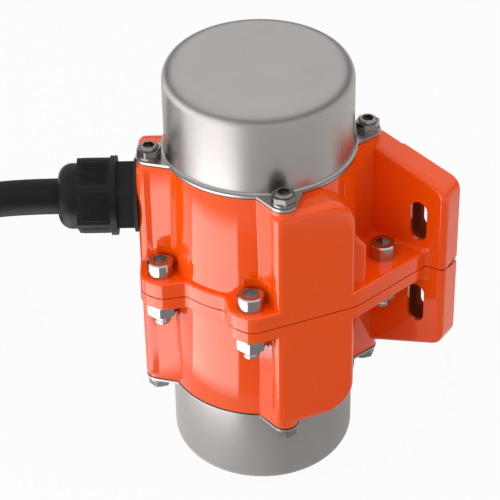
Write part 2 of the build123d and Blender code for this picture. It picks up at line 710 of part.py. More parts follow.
with BuildPart() as gland_nut:
    with BuildSketch(gland_plane(GLAND_NUT_START)):
        Circle(GLAND_COLLAR_RADIUS)
    extrude(amount=GLAND_COLLAR_LENGTH)
    with BuildSketch(gland_plane(GLAND_NUT_START)):
        RegularPolygon(GLAND_NUT_ACROSS_FLATS / 2, 6, major_radius=False, rotation=GLAND_NUT_TURN)
        Circle(GLAND_NUT_CORNER_RADIUS, mode=Mode.INTERSECT)
    extrude(amount=GLAND_COLLAR_LENGTH + GLAND_NUT_LENGTH)
    with BuildSketch(gland_plane(GLAND_NUT_START)):
        Circle(GLAND_DOME_RADIUS)
    extrude(amount=GLAND_END - GLAND_NUT_START)
    dome_face = gland_nut.faces().sort_by(Axis((0, 0, 0), gland_plane(0).z_dir))[-1]
    fillet(dome_face.edges(), GLAND_DOME_LENGTH * 0.7)
    with BuildSketch(gland_plane(GLAND_NUT_START)):
        Circle(GLAND_STUB_RADIUS)
    extrude(amount=GLAND_SLEEVE_LENGTH, mode=Mode.SUBTRACT)
    with BuildSketch(gland_plane(GLAND_NUT_START)):
        Circle(GLAND_BORE_RADIUS)
    extrude(amount=GLAND_INSERT_LENGTH, mode=Mode.SUBTRACT)
    with BuildSketch(gland_plane(GLAND_NUT_START)):
        Circle(GLAND_MOUTH_RADIUS)
    extrude(amount=GLAND_END - GLAND_NUT_START, mode=Mode.SUBTRACT)
save(gland_nut.part, "gland_nut")

with BuildPart() as gland_insert:
    with BuildSketch(gland_plane(GLAND_NUT_START)):
        Circle(GLAND_BORE_RADIUS)
        Circle(CABLE_RADIUS, mode=Mode.SUBTRACT)
    extrude(amount=GLAND_INSERT_LENGTH)
save(gland_insert.part, "gland_insert")

# Stator

with BuildPart() as stator_core:
    with BuildSketch(Plane.XY.offset(PARTING_Z - STATOR_HALF_LENGTH)):
        Circle(STATOR_RADIUS)
        Circle(STATOR_BORE_RADIUS, mode=Mode.SUBTRACT)
        with PolarLocations(STATOR_SLOT_RADIUS, STATOR_SLOTS):
            Rectangle(STATOR_SLOT_DEPTH, STATOR_SLOT_WIDTH, mode=Mode.SUBTRACT)
        with PolarLocations(STATOR_BORE_RADIUS, STATOR_SLOTS):
            Rectangle(STATOR_SLOT_DEPTH, STATOR_SLOT_MOUTH, mode=Mode.SUBTRACT)
    extrude(amount=2 * STATOR_HALF_LENGTH)
save(stator_core.part, "stator_core")

with BuildPart() as stator_windings:
    for side in (1, -1):
        with BuildSketch(seat(side, STATOR_HALF_LENGTH)):
            Circle(WINDING_OUTER_RADIUS)
            Circle(WINDING_INNER_RADIUS, mode=Mode.SUBTRACT)
        extrude(amount=WINDING_OVERHANG)
        overhang = stator_windings.faces().sort_by(Axis.Z)[-1 if side > 0 else 0]
        fillet(overhang.edges(), WINDING_FILLET)
    with BuildSketch(Plane.XY.offset(PARTING_Z - STATOR_HALF_LENGTH)):
        with PolarLocations(STATOR_SLOT_RADIUS, STATOR_SLOTS):
            Rectangle(STATOR_SLOT_DEPTH, STATOR_SLOT_WIDTH)
    extrude(amount=2 * STATOR_HALF_LENGTH)
save(stator_windings.part, "stator_windings")


# Bearings

def bearing_ring(side, inner_radius, outer_radius):
    """One race, with its groove for the balls."""
    middle = level(side, BEARING_INNER_FACE + BEARING_WIDTH / 2)
    with BuildPart() as ring:
        with BuildSketch(Plane.XZ):
            with Locations(((inner_radius + outer_radius) / 2, middle)):
                Rectangle(outer_radius - inner_radius, BEARING_WIDTH)
            with Locations((BEARING_PITCH_RADIUS, middle)):
                Circle(RACE_GROOVE_RADIUS, mode=Mode.SUBTRACT)
        revolve(axis=Axis.Z)
    return ring.part


def ball_set(side):
    with BuildPart() as balls:
        with Locations((0, 0, level(side, BEARING_INNER_FACE + BEARING_WIDTH / 2))):
            with PolarLocations(BEARING_PITCH_RADIUS, BALL_COUNT):
                Sphere(BALL_RADIUS)
    return balls.part


def ball_cage(side):
    middle = level(side, BEARING_INNER_FACE + BEARING_WIDTH / 2)
    with BuildPart() as cage:
        with BuildSketch(Plane.XY.offset(middle - BALL_CAGE_HALF_WIDTH)):
            Circle(BEARING_PITCH_RADIUS + BALL_CAGE_WALL / 2)
            Circle(BEARING_PITCH_RADIUS - BALL_CAGE_WALL / 2, mode=Mode.SUBTRACT)
        extrude(amount=2 * BALL_CAGE_HALF_WIDTH)
        with Locations((0, 0, middle)):
            with PolarLocations(BEARING_PITCH_RADIUS, BALL_COUNT):
                Cylinder(BALL_POCKET_RADIUS, 3 * BALL_CAGE_WALL, rotation=(0, 90, 0), mode=Mode.SUBTRACT)
    return cage.part


for side, where in ((1, "upper"), (-1, "lower")):
    save(bearing_ring(side, BEARING_RADIUS - RACE_THICKNESS, BEARING_RADIUS), f"{where}_bearing_outer_race")
    save(bearing_ring(side, BEARING_BORE_RADIUS, BEARING_BORE_RADIUS + RACE_THICKNESS),
         f"{where}_bearing_inner_race")
    save(ball_set(side), f"{where}_bearing_balls")
    save(ball_cage(side), f"{where}_bearing_cage")


def clip_ring(side, height, inner_radius, outer_radius, thickness, gap):
    """Circlip: a flat open ring, its gap towards +X."""
    with BuildPart() as clip:
        with BuildSketch(Plane.XY.offset(min(level(side, height), level(side, height + thickness)))):
            Circle(outer_radius)
            Circle(inner_radius, mode=Mode.SUBTRACT)
            with Locations((outer_radius, 0)):
                Rectangle(outer_radius, gap, mode=Mode.SUBTRACT)
        extrude(amount=thickness)
    return clip.part


with BuildPart() as bearing_circlips:
    for side in (1, -1):
        add(clip_ring(side, BEARING_OUTER_FACE, BEARING_RADIUS + CIRCLIP_GROOVE_DEPTH - CIRCLIP_WIDTH,
                      BEARING_RADIUS + CIRCLIP_GROOVE_DEPTH, CIRCLIP_THICKNESS, CIRCLIP_GAP))
save(bearing_circlips.part, "bearing_circlips")

# Rotor

with BuildPart() as rotor_shaft:
    with BuildSketch(Plane.XZ):
        for side in (1, -1):
            with BuildLine():
                Polyline(
                    (0, level(side, 0)),
                    (SHAFT_RADIUS, level(side, 0)),
                    (SHAFT_RADIUS, level(side, BEARING_INNER_FACE)),
                    (BEARING_BORE_RADIUS, level(side, BEARING_INNER_FACE)),
                    (BEARING_BORE_RADIUS, level(side, BEARING_OUTER_FACE)),
                    (SHAFT_END_RADIUS, level(side, BEARING_OUTER_FACE)),
                    (SHAFT_END_RADIUS, level(side, SHAFT_CLIP_FACE)),
                    (SHAFT_END_RADIUS - SHAFT_CLIP_GROOVE, level(side, SHAFT_CLIP_FACE)),
                    (SHAFT_END_RADIUS - SHAFT_CLIP_GROOVE, level(side, SHAFT_CLIP_FACE + SHAFT_CLIP_THICKNESS)),
                    (SHAFT_END_RADIUS, level(side, SHAFT_CLIP_FACE + SHAFT_CLIP_THICKNESS)),
                    (SHAFT_END_RADIUS, level(side, SHAFT_HALF_LENGTH - SHAFT_CHAMFER)),
                    (SHAFT_END_RADIUS - SHAFT_CHAMFER, level(side, SHAFT_HALF_LENGTH)),
                    (0, level(side, SHAFT_HALF_LENGTH)),
                    close=True,
                )
            make_face()
    revolve(axis=Axis.Z)
    for side in (1, -1):
        with BuildSketch(seat(side, SPACER_FACE - (WEIGHT_THICKNESS - KEY_LENGTH) / 2 - KEY_LENGTH)):
            with Locations((0, SHAFT_END_RADIUS - KEY_SHAFT_DEPTH / 2)):
                Rectangle(KEY_WIDTH, KEY_SHAFT_DEPTH)
        extrude(amount=KEY_LENGTH, mode=Mode.SUBTRACT)
save(rotor_shaft.part, "rotor_shaft")

with BuildPart() as rotor_core:
    with BuildSketch(Plane.XY.offset(PARTING_Z - STATOR_HALF_LENGTH)):
        Circle(ROTOR_RADIUS)
        Circle(SHAFT_RADIUS, mode=Mode.SUBTRACT)
        with PolarLocations(ROTOR_BAR_CIRCLE, ROTOR_BARS):
            Circle(ROTOR_BAR_RADIUS, mode=Mode.SUBTRACT)
    extrude(amount=2 * STATOR_HALF_LENGTH)
save(rotor_core.part, "rotor_core")

with BuildPart() as rotor_cage:
    with BuildSketch(Plane.XY.offset(PARTING_Z - STATOR_HALF_LENGTH)):
        with PolarLocations(ROTOR_BAR_CIRCLE, ROTOR_BARS):
            Circle(ROTOR_BAR_RADIUS)
    extrude(amount=2 * STATOR_HALF_LENGTH)
    for side in (1, -1):
        with BuildSketch(seat(side, STATOR_HALF_LENGTH)):
            Circle(END_RING_OUTER_RADIUS)
            Circle(END_RING_INNER_RADIUS, mode=Mode.SUBTRACT)
        extrude(amount=END_RING_THICKNESS)
save(rotor_cage.part, "rotor_cage")


def ring_at(side, height, inner_radius, outer_radius, thickness):
    with BuildPart() as ring:
        with BuildSketch(seat(side, height)):
            Circle(outer_radius)
            Circle(inner_radius, mode=Mode.SUBTRACT)
        extrude(amount=thickness)
    return ring.part


def both_ends(make):
    """The same piece at the upper and the lower end, as one group."""
    with BuildPart() as pair:
        add(make(1))
        add(make(-1))
    return pair.part


save(both_ends(lambda side: ring_at(side, BEARING_OUTER_FACE, SHAFT_END_RADIUS, SLEEVE_RADIUS, SLEEVE_LENGTH)),
     "shaft_sleeves")
save(both_ends(lambda side: ring_at(side, SPACER_FACE, SHAFT_END_RADIUS, SPACER_RADIUS, SPACER_THICKNESS)),
     "weight_spacers")
save(both_ends(lambda side: clip_ring(side, SHAFT_CLIP_FACE, SHAFT_END_RADIUS - SHAFT_CLIP_GROOVE,
                                      SHAFT_CLIP_RADIUS, SHAFT_CLIP_THICKNESS, SHAFT_CLIP_GAP)),
     "shaft_circlips")


def weight_key(side):
    with BuildPart() as key:
        with BuildSketch(seat(side, SPACER_FACE - (WEIGHT_THICKNESS - KEY_LENGTH) / 2 - KEY_LENGTH)):
            with Locations((0, SHAFT_END_RADIUS + (KEY_HUB_DEPTH - KEY_SHAFT_DEPTH) / 2)):
                Rectangle(KEY_WIDTH, KEY_SHAFT_DEPTH + KEY_HUB_DEPTH)
        extrude(amount=KEY_LENGTH)
    return key.part


save(both_ends(weight_key), "weight_keys")


def weight_outline():
    """Half-moon plate with a round hub, heavy side towards -Y."""
    with BuildSketch() as moon:
        Circle(WEIGHT_RADIUS)
        with Locations((0, WEIGHT_RADIUS / 2)):
            Rectangle(2 * WEIGHT_RADIUS, WEIGHT_RADIUS, mode=Mode.SUBTRACT)
        tips = moon.vertices().filter_by(lambda v: abs(v.Y) < 0.01)
        fillet(tips, WEIGHT_CORNER_FILLET)
        Circle(WEIGHT_HUB_RADIUS)
    return moon.sketch


def fixed_weight(side):
    with BuildPart() as weight:
        with BuildSketch(seat(side, FIXED_WEIGHT_FACE)):
            add(weight_outline())
            Circle(SHAFT_END_RADIUS, mode=Mode.SUBTRACT)
            with Locations((0, SHAFT_END_RADIUS)):
                Rectangle(KEY_WIDTH, 2 * KEY_HUB_DEPTH, mode=Mode.SUBTRACT)
        extrude(amount=WEIGHT_THICKNESS)
    return weight.part


def loose_weight(side):
    """Adjustable weight: the hub is split and clamped on the shaft by a cross screw."""
    with BuildPart() as weight:
        with BuildSketch(seat(side, LOOSE_WEIGHT_FACE)):
            add(weight_outline())
            with Locations((0, CLAMP_LUG_REACH / 2)):
                Rectangle(2 * CLAMP_LUG_HALF_WIDTH, CLAMP_LUG_REACH)
            Circle(SHAFT_END_RADIUS + WEIGHT_BORE_CLEARANCE, mode=Mode.SUBTRACT)
            with Locations((0, CLAMP_LUG_REACH / 2)):
                Rectangle(CLAMP_SLIT, CLAMP_LUG_REACH, mode=Mode.SUBTRACT)
        extrude(amount=WEIGHT_THICKNESS)
        with BuildSketch(clamp_plane(side)):
            Circle(M4_SCREW[0])
        extrude(amount=-2 * CLAMP_LUG_HALF_WIDTH, mode=Mode.SUBTRACT)
    return weight.part


def clamp_plane(side):
    """Seat of the clamp screw's head, on the right flank of the lug."""
    middle = level(side, LOOSE_WEIGHT_FACE + WEIGHT_THICKNESS / 2)
    return Plane((CLAMP_LUG_HALF_WIDTH, CLAMP_SCREW_Y, middle), x_dir=(0, 1, 0), z_dir=(1, 0, 0))


def clamp_screw(side):
    with BuildPart() as screw:
        with Locations(clamp_plane(side)):
            add(socket_screw(M4_SCREW, CLAMP_SCREW_LENGTH))
    return screw.part


for side, where in ((1, "upper"), (-1, "lower")):
    save(fixed_weight(side), f"{where}_fixed_weight")
    save(loose_weight(side), f"{where}_adjustable_weight")
    save(clamp_screw(side), f"{where}_weight_clamp_screw")

# Supply lead

gland_out = Vector(cos(radians(GLAND_ANGLE)), sin(radians(GLAND_ANGLE)), 0)
gland_across = Vector(-gland_out.Y, gland_out.X, 0)


def lead_place(out, back, height):
    """Place on the lead's route: distance out along the gland's axis, distance back from it, height over the floor."""
    return gland_out * out - gland_across * back + Vector(0, 0, height)


# The lead runs straight out of the gland, then slopes down onto its coil as a tangent
lead_run = COIL_OUT - LEAD_DROP_OUT
lead_slant = hypot(lead_run, COIL_BACK)
lead_swing = atan2(COIL_BACK, lead_run) - asin(COIL_RADIUS / lead_slant)
lead_reach = sqrt(lead_slant**2 - COIL_RADIUS**2) - LEAD_REACH_SPARE
lead_points = [
    lead_place(CABLE_START, 0, PARTING_Z + GLAND_HEIGHT),
    lead_place(LEAD_DROP_OUT, 0, PARTING_Z + GLAND_HEIGHT),
    lead_place(LEAD_DROP_OUT + lead_reach * cos(lead_swing), lead_reach * sin(lead_swing), COIL_HEIGHT / 2),
]


def route_radii(points):
    """Largest arc that each corner's two runs allow."""
    radii = []
    for before, corner, after in zip(points, points[1:], points[2:]):
        turn = (corner - before).get_angle(after - corner)
        shorter = min((corner - before).length, (after - corner).length)
        radii.append(0.45 * shorter / tan(radians(turn / 2)))
    return radii


lead_radii = route_radii(lead_points)
print("lead radii", [round(radius, 1) for radius in lead_radii])
with BuildPart() as cable_lead:
    with BuildLine() as lead_path:
        FilletPolyline(*lead_points, radius=lead_radii)
    with BuildSketch(gland_plane(CABLE_START)):
        Circle(CABLE_RADIUS)
    sweep(path=lead_path.wires()[0])
lead_length = lead_path.wires()[0].length
print("lead length", round(lead_length, 1), "volume ratio",
      round(cable_lead.part.volume / (lead_length * 3.14159265 * CABLE_RADIUS**2), 4))

# Turns lying on each other
coil_centre = lead_place(COIL_OUT, COIL_BACK, 0)
coil_half_width = CABLE_RADIUS + COIL_SLACK
with BuildPart() as cable_coil:
    with BuildSketch(Plane((coil_centre.X, coil_centre.Y, 0))):
        Circle(COIL_RADIUS + coil_half_width)
        Circle(COIL_RADIUS - coil_half_width, mode=Mode.SUBTRACT)
    extrude(amount=COIL_HEIGHT)
save(cable_coil.part, "cable_coil")

# The lead's end is cut to lie against the coil
with BuildPart() as seated_lead:
    add(cable_lead.part)
    add(cable_coil.part, mode=Mode.SUBTRACT)
save(seated_lead.part, "cable_lead")

# Insulated cores from the sheath's inner end to the windings
with BuildPart() as lead_cores:
    with BuildSketch(gland_plane(WINDING_OUTER_RADIUS)):
        with PolarLocations(CORE_SPREAD, 3, start_angle=90):
            Circle(CORE_RADIUS)
    extrude(amount=CABLE_START - WINDING_OUTER_RADIUS)
save(lead_cores.part, "lead_cores")

# Free end of the lead: three cores side by side, leaving the coil inwards, each with a ferrule
core_spoke = lead_place(sin(radians(COIL_END_TURN)), -cos(radians(COIL_END_TURN)), 0)
core_travel = lead_place(cos(radians(COIL_END_TURN)), sin(radians(COIL_END_TURN)), 0)
core_out = core_travel * cos(radians(CORE_END_TURN)) - core_spoke * sin(radians(CORE_END_TURN))
core_root = (coil_centre + core_spoke * (COIL_RADIUS - coil_half_width) - core_out * CORE_END_ROOT
             + Vector(0, 0, CABLE_RADIUS))
core_plane = Plane(core_root, x_dir=Vector(-core_out.Y, core_out.X, 0), z_dir=core_out)
with BuildPart() as core_ends:
    with BuildSketch(core_plane):
        with GridLocations(CORE_END_PITCH, 0, 3, 1):
            Circle(CORE_RADIUS)
    extrude(amount=CORE_END_LENGTH)
    add(cable_coil.part, mode=Mode.SUBTRACT)
save(core_ends.part, "core_ends")

with BuildPart() as core_ferrules:
    with BuildSketch(core_plane.offset(CORE_END_LENGTH)):
        with GridLocations(CORE_END_PITCH, 0, 3, 1):
            Circle(FERRULE_RADIUS)
    extrude(amount=FERRULE_LENGTH)
save(core_ferrules.part, "core_ferrules")
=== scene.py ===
import math

import bmesh
import bpy
from mathutils import Matrix, Vector


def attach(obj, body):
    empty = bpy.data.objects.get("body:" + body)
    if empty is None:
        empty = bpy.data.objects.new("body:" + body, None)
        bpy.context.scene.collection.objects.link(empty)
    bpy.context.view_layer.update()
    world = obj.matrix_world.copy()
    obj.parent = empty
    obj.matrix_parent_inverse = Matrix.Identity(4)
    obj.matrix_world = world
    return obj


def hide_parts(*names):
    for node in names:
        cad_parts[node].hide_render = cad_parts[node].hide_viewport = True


bl_info = {
    "name": "Foot-mounted vibration motor",
    "version": (1, 0, 0),
    "blender": (4, 5, 0),
    "location": "View3D > Sidebar > Motor",
    "description": "Finishes, gland grip, supply lead and studio of a clamshell vibration motor",
    "category": "Object",
}

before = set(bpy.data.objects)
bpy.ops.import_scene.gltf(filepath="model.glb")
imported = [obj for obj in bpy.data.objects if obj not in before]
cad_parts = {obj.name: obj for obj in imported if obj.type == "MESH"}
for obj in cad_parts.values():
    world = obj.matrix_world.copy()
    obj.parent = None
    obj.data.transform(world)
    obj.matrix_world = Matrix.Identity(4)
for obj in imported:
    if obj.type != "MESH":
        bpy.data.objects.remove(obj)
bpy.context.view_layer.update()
UP = Vector((0, 0, 1))

# All lengths are in metres.

# Places that several pieces share. The gland points out of the casing's left box.
PARTING_Z = 0.0855
BOX_ANGLE = math.radians(-33.8)
GLAND_MOUTH = 0.0750
GLAND_OUT = Vector((-math.cos(BOX_ANGLE), math.sin(BOX_ANGLE), 0))
GLAND_ACROSS = Vector((-GLAND_OUT.y, GLAND_OUT.x, 0))

# The camera's aim, from the shaft at the height of the parting line, and its sensor and clipping
AIM_RIGHT = -0.004153
AIM_UP = 0.001564
SENSOR_WIDTH_MM = 36.0
CLIP_START = 0.01
CLIP_END = 20.0

# Walls of the foot's slots, which take painted shade: a dark colour in place of the paint, without
# its gloss coat
SLOT_X = 0.0530
SLOT_Z = 0.0188
SLOT_HALF_WIDTH = 0.00365
SLOT_HALF_LENGTH = 0.00865
SLOT_MOUTH_Y = 0.0282
# Colour of the painted shade on the slot walls
SLOT_SHADE_COLOUR = (0.20, 0.030, 0.012)

# Grip ribs of the gland's union nut. NUT_START and NUT_END are distances from the shaft, NUT_FLAT
# is a flat's distance from the gland's axis, NUT_TURN is in degrees, and RIB_SHORTER is what a
# rib's straight part lacks of the nut's length.
NUT_START = 0.0554
NUT_END = 0.0676
NUT_FLATS = 6
NUT_FLAT = 0.0132
NUT_TURN = 12.0
RIBS_ON_A_FLAT = 10
RIB_PITCH = 0.00105
RIB_RADIUS = 0.00036
RIB_SIDES = 10
RIB_SHORTER = 0.0026
RIB_TIP = 0.0008
RIB_TIP_SCALE = 0.4
RIB_END_NORMAL = 0.9

# The lead leaves the gland level, swings back a little and slopes down outside the view
LEAD_HEIGHT = 0.1137
LEAD_BEND_OUT = 0.1220
LEAD_BEND_RADIUS = 0.200
LEAD_SWING = math.radians(13.05)
LEAD_REACH = 0.0874
DROP_START = 0.0170
DROP_SLOPE = math.radians(48)
DROP_RADIUS = 0.062
LANDING_RADIUS = 0.110
LEAD_END = 1.292
LEAD_STEPS = 66

# It lands on its own coil of three stacked turns, and each crossing takes it down by one turn.
# COIL_HOLE is how far from the coil's middle the cores bend, at the edge of its hole.
COIL_OUT = 0.192
COIL_BACK = 0.085
COIL_RADIUS = 0.0670
COIL_HOLE = 0.060
COIL_FLOOR = 0.0067
TOP_TURN = 0.0339
TURN_PITCH = 0.0136
CROSSING_START = 0.450
CROSSING_LENGTH = 0.130
COIL_MIDDLE = GLAND_OUT * COIL_OUT - GLAND_ACROSS * COIL_BACK

# Free ends of the three cores, inside the coil, from the sheath's end to the ferrules
CORE_RADIUS = 0.0015
CORE_TURN = math.radians(-57)
CORE_SLANT = math.radians(35)
CORE_VISIBLE = 0.024
CORE_PITCH = 0.0036
CORE_PITCH_IN_SHEATH = 0.0031
CORE_PITCH_OUTSIDE = 0.0032
CORE_PITCH_AT_BEND = 0.0035
CORE_HIDDEN = 0.004
CORE_OUTSIDE = 0.006
CORE_BEND_BEFORE = 0.002
CORE_STRAIGHT_END = 0.010

# Bands round the coil, at bearings in degrees from GLAND_ACROSS towards GLAND_OUT. TIE_FLOOR is the
# lowest that a band's middle goes, and TIE_TAIL how far its loose end climbs.
TIE_TURNS = (78, 258)
TIE_RADIUS = 0.0072
TIE_WIDTH = 0.010
TIE_THICKNESS = 0.0009
TIE_FLOOR = 0.00126
TIE_LAP = 0.0011
TIE_TAIL = 0.018
TIE_STEPS = 12
TIE_LAP_STEPS = 4

# Threads of the flange screws, from under the nuts down
THREAD_PLACES = [(0.044, 0.016), (-0.044, 0.016), (0.020, -0.0374), (-0.020, -0.0374)]
THREAD_TOP = 0.0744
THREAD_PITCH = 0.0010
THREAD_TURNS = 3.7
THREAD_RADIUS = 0.00288
THREAD_RIDGE = 0.00040
THREAD_STEPS = 16
THREAD_SINK_STEPS = 5

# Height of the grain on sprayed, tooled and moulded surfaces, and one sheet of the laminations
GRAIN_DEPTH = 0.0002
LAMINATION = 0.001

# What the floor shows in gloss. Each row is the bearing of a band's middle, its half width and its
# soft edge in degrees, then its brightness as the lower cap, the casing, the upper cap's foot and
# the upper cap's top mirror it. Rows add up, and the first is the paper itself.
BANDS = [
    (0.0, 180.0, 1.0, 0.55, 0.35, 0.82, 0.86),
    (-108.6, 26.4, 2.0, 0.0, 4.4, 0.0, 0.0),
    (-151.0, 14.0, 4.0, 0.0, 1.3, 0.0, 0.0),
    (-124.0, 24.0, 24.0, 0.0, 0.0, 0.0, 1.25),
    (-171.0, 14.0, 14.0, 0.0, 0.0, 0.45, 0.65),
    (-150.0, 50.0, 60.0, 0.45, 0.0, 0.0, 0.0),
    (56.0, 25.0, 12.0, 0.0, 0.6, 0.0, 0.0),
]
BAND_COLOUR = (1.0, 0.98, 0.965)

# Distances from the shaft at which the floor changes from one mirrored brightness to the next
CASING_STARTS = (0.083, 0.092)
CAP_STARTS = (0.223, 0.238)
CAP_RISES = (0.245, 0.290)
PAPER_END = (1.0, 2.2)

# The floor, the share of it that the camera sees as plain white paper, and the heights in the sky
# between which the mirrored room brightens
FLOOR_SIZE = 24
FLOOR_Z = -0.0004
FLOOR_ROUGHNESS = 0.9
PAPER_SHARE = 0.95
HORIZON_BAND = (0.12, 0.38)

# Lamps: setting that holds the power, then the place to the right of the motor's middle, beyond it
# and above it as the photograph looks, then the lamp's width and height
SOFT_BOXES = [
    ("key", -0.62, -0.30, 0.20, 1.1, 1.3),
    ("fill", 0.75, -0.10, 0.25, 0.35, 0.7),
    ("top", 0.0, -0.10, 0.80, 1.0, 0.9),
]

# CAD nodes by the finish that they get
NODE_FINISH = {
    "paint": ["upper_housing", "lower_housing"],
    "cap": ["upper_end_cap", "lower_end_cap"],
    "bright": ["flange_screws", "flange_washers", "flange_nuts", "core_ferrules"],
    "dark": [
        "cap_screws", "spring_washers", "upper_weight_clamp_screw", "lower_weight_clamp_screw",
    ],
    "gasket": [
        "parting_gasket", "upper_cap_gasket", "lower_cap_gasket", "gland_washer", "gland_insert",
    ],
    "plastic": ["gland_body", "gland_nut"],
    "laminations": ["stator_core", "rotor_core"],
    "copper": ["stator_windings"],
    "aluminium": ["rotor_cage"],
    "ground": [
        "rotor_shaft", "upper_bearing_outer_race", "lower_bearing_outer_race",
        "upper_bearing_inner_race", "lower_bearing_inner_race", "upper_bearing_balls",
        "lower_bearing_balls", "bearing_circlips", "shaft_sleeves", "weight_spacers",
        "shaft_circlips", "weight_keys",
    ],
    "brass": ["upper_bearing_cage", "lower_bearing_cage"],
    "weight": [
        "upper_fixed_weight", "lower_fixed_weight", "upper_adjustable_weight",
        "lower_adjustable_weight",
    ],
    "core": ["lead_cores", "core_ends"],
}


# Settings

class MotorFinish(bpy.types.PropertyGroup):
    paint: bpy.props.FloatVectorProperty(
        name="Casing paint", description="Gloss paint of both castings",
        subtype="COLOR", size=3, min=0, max=1, default=(0.93, 0.086, 0.002))
    paint_roughness: bpy.props.FloatProperty(
        name="Paint roughness", description="Roughness of the paint under its gloss",
        min=0, max=1, default=0.30)
    steel: bpy.props.FloatVectorProperty(
        name="Cap steel", description="Satin steel of the end caps",
        subtype="COLOR", size=3, min=0, max=1, default=(0.430, 0.412, 0.402))
    bright: bpy.props.FloatVectorProperty(
        name="Screw steel", description="Bright steel of the flange screws, nuts and washers",
        subtype="COLOR", size=3, min=0, max=1, default=(0.50, 0.49, 0.48))
    plastic: bpy.props.FloatVectorProperty(
        name="Gland plastic", description="Moulded plastic of the cable gland",
        subtype="COLOR", size=3, min=0, max=1, default=(0.0075, 0.0075, 0.008))
    rubber: bpy.props.FloatVectorProperty(
        name="Lead rubber", description="Sheath of the supply lead",
        subtype="COLOR", size=3, min=0, max=1, default=(0.0075, 0.0075, 0.008))


class MotorLead(bpy.types.PropertyGroup):
    diameter: bpy.props.FloatProperty(
        name="Lead diameter", description="Outside diameter of the supply lead's sheath",
        unit="LENGTH", subtype="DISTANCE", min=0.004, max=0.02, default=0.0134)
    length: bpy.props.FloatProperty(
        name="Lead length", description="Length from the gland's mouth to the sheath's end",
        unit="LENGTH", subtype="DISTANCE", min=0.1, max=5, default=1.307)


class MotorStage(bpy.types.PropertyGroup):
    azimuth: bpy.props.FloatProperty(
        name="View azimuth", description="Direction the photograph looks from, round the shaft",
        unit="ROTATION", subtype="ANGLE", default=math.radians(33.79))
    elevation: bpy.props.FloatProperty(
        name="View elevation", description="Height of the view above the horizon",
        unit="ROTATION", subtype="ANGLE", default=math.radians(35.22))
    roll: bpy.props.FloatProperty(
        name="View roll", description="Tilt of the view about its own axis",
        unit="ROTATION", subtype="ANGLE", default=math.radians(-1.054))
    distance: bpy.props.FloatProperty(
        name="View distance", description="From the camera to the motor's middle",
        unit="LENGTH", subtype="DISTANCE", min=0.1, default=0.7939)
    lens: bpy.props.FloatProperty(
        name="Lens", description="Focal length in millimetres on a 36 mm sensor",
        min=10, max=500, default=150.03)
    floor: bpy.props.FloatVectorProperty(
        name="Floor colour", description="Colour of the floor under its glow",
        subtype="COLOR", size=3, min=0, max=1, default=(0.60, 0.60, 0.60))
    key: bpy.props.FloatProperty(
        name="Key light", description="Power of the tall soft box on the left, in watts",
        min=0, default=8.0)
    fill: bpy.props.FloatProperty(
        name="Fill light", description="Power of the soft box on the right, in watts",
        min=0, default=1.3)
    top: bpy.props.FloatProperty(
        name="Top light", description="Power of the overhead soft box, in watts",
        min=0, default=2.4)
    horizon: bpy.props.FloatProperty(
        name="Dark horizon", description="Brightness of the room low down, as gloss mirrors it",
        min=0, default=0.25)
    bands: bpy.props.FloatProperty(
        name="Mirrored bands", description="Brightness of the floor's bands that gloss mirrors",
        min=0, default=1.0)
    surround: bpy.props.FloatProperty(
        name="Surround", description="Strength of the white room as a lamp",
        min=0, default=0.42)


# Selection, mesh and curve helpers

def clear_selection():
    if bpy.context.object and bpy.context.object.mode != "OBJECT":
        bpy.ops.object.mode_set(mode="OBJECT")
    bpy.ops.object.select_all(action="DESELECT")


def pick(piece):
    clear_selection()
    piece.select_set(True)
    bpy.context.view_layer.objects.active = piece


def settle(piece, place):
    """Puts the piece's place into its mesh and leaves the object at the origin."""
    piece.matrix_world = place
    bpy.context.view_layer.update()
    pick(piece)
    bpy.ops.object.transform_apply(location=True, rotation=True, scale=True)


def joined(pieces, name):
    clear_selection()
    for piece in pieces:
        piece.select_set(True)
    bpy.context.view_layer.objects.active = pieces[0]
    bpy.ops.object.join()
    made = bpy.context.object
    made.name = name
    return made


def axes(x, y, z):
    """Rotation that turns the world's axes into these three."""
    return Matrix((x, y, z)).transposed().to_4x4()


def round_curve(name, radius, section_steps, length_steps):
    """Empty curve that will have a round section."""
    data = bpy.data.curves.new(name, "CURVE")
    data.dimensions = "3D"
    data.bevel_depth = radius
    data.bevel_resolution = section_steps
    data.resolution_u = length_steps
    data.use_fill_caps = True
    return data


def add_smooth_line(data, points):
    spline = data.splines.new("NURBS")
    spline.points.add(len(points) - 1)
    for spot, point in zip(spline.points, points):
        spot.co = (*point, 1)
    spline.order_u = 3
    spline.use_endpoint_u = True


def curve_piece(data):
    piece = bpy.data.objects.new(data.name, data)
    bpy.context.scene.collection.objects.link(piece)
    return piece


def curve_mesh(data):
    """Piece whose mesh is made from the curve."""
    pick(curve_piece(data))
    bpy.ops.object.convert(target="MESH")
    return bpy.context.object


def paint_piece(piece, finish):
    piece.data.materials.clear()
    piece.data.materials.append(finish)


# Shader helpers. A term is a number, a tuple or another node's output.

def feed(tree, entry, term):
    if isinstance(term, bpy.types.NodeSocket):
        tree.links.new(term, entry)
    else:
        entry.default_value = term


def node(tree, kind, **values):
    made = tree.nodes.new(kind)
    for name, value in values.items():
        setattr(made, name, value)
    return made


def calc(tree, operation, *terms):
    made = node(tree, "ShaderNodeMath", operation=operation)
    for entry, term in zip(made.inputs, terms):
        feed(tree, entry, term)
    return made.outputs[0]


def ramp(tree, term, low, high, at_low, at_high):
    """Goes from at_low to at_high while the term goes from low to high, and stays there."""
    made = node(tree, "ShaderNodeMapRange")
    feed(tree, made.inputs["Value"], term)
    made.inputs["From Min"].default_value = low
    made.inputs["From Max"].default_value = high
    made.inputs["To Min"].default_value = at_low
    made.inputs["To Max"].default_value = at_high
    return made.outputs["Result"]


def blend(tree, share, first, second):
    """Colour between two colours. Sockets of a mix node share their names, so numbers pick them."""
    made = node(tree, "ShaderNodeMix", data_type="RGBA")
    feed(tree, made.inputs[0], share)
    feed(tree, made.inputs[6], first)
    feed(tree, made.inputs[7], second)
    return made.outputs[2]


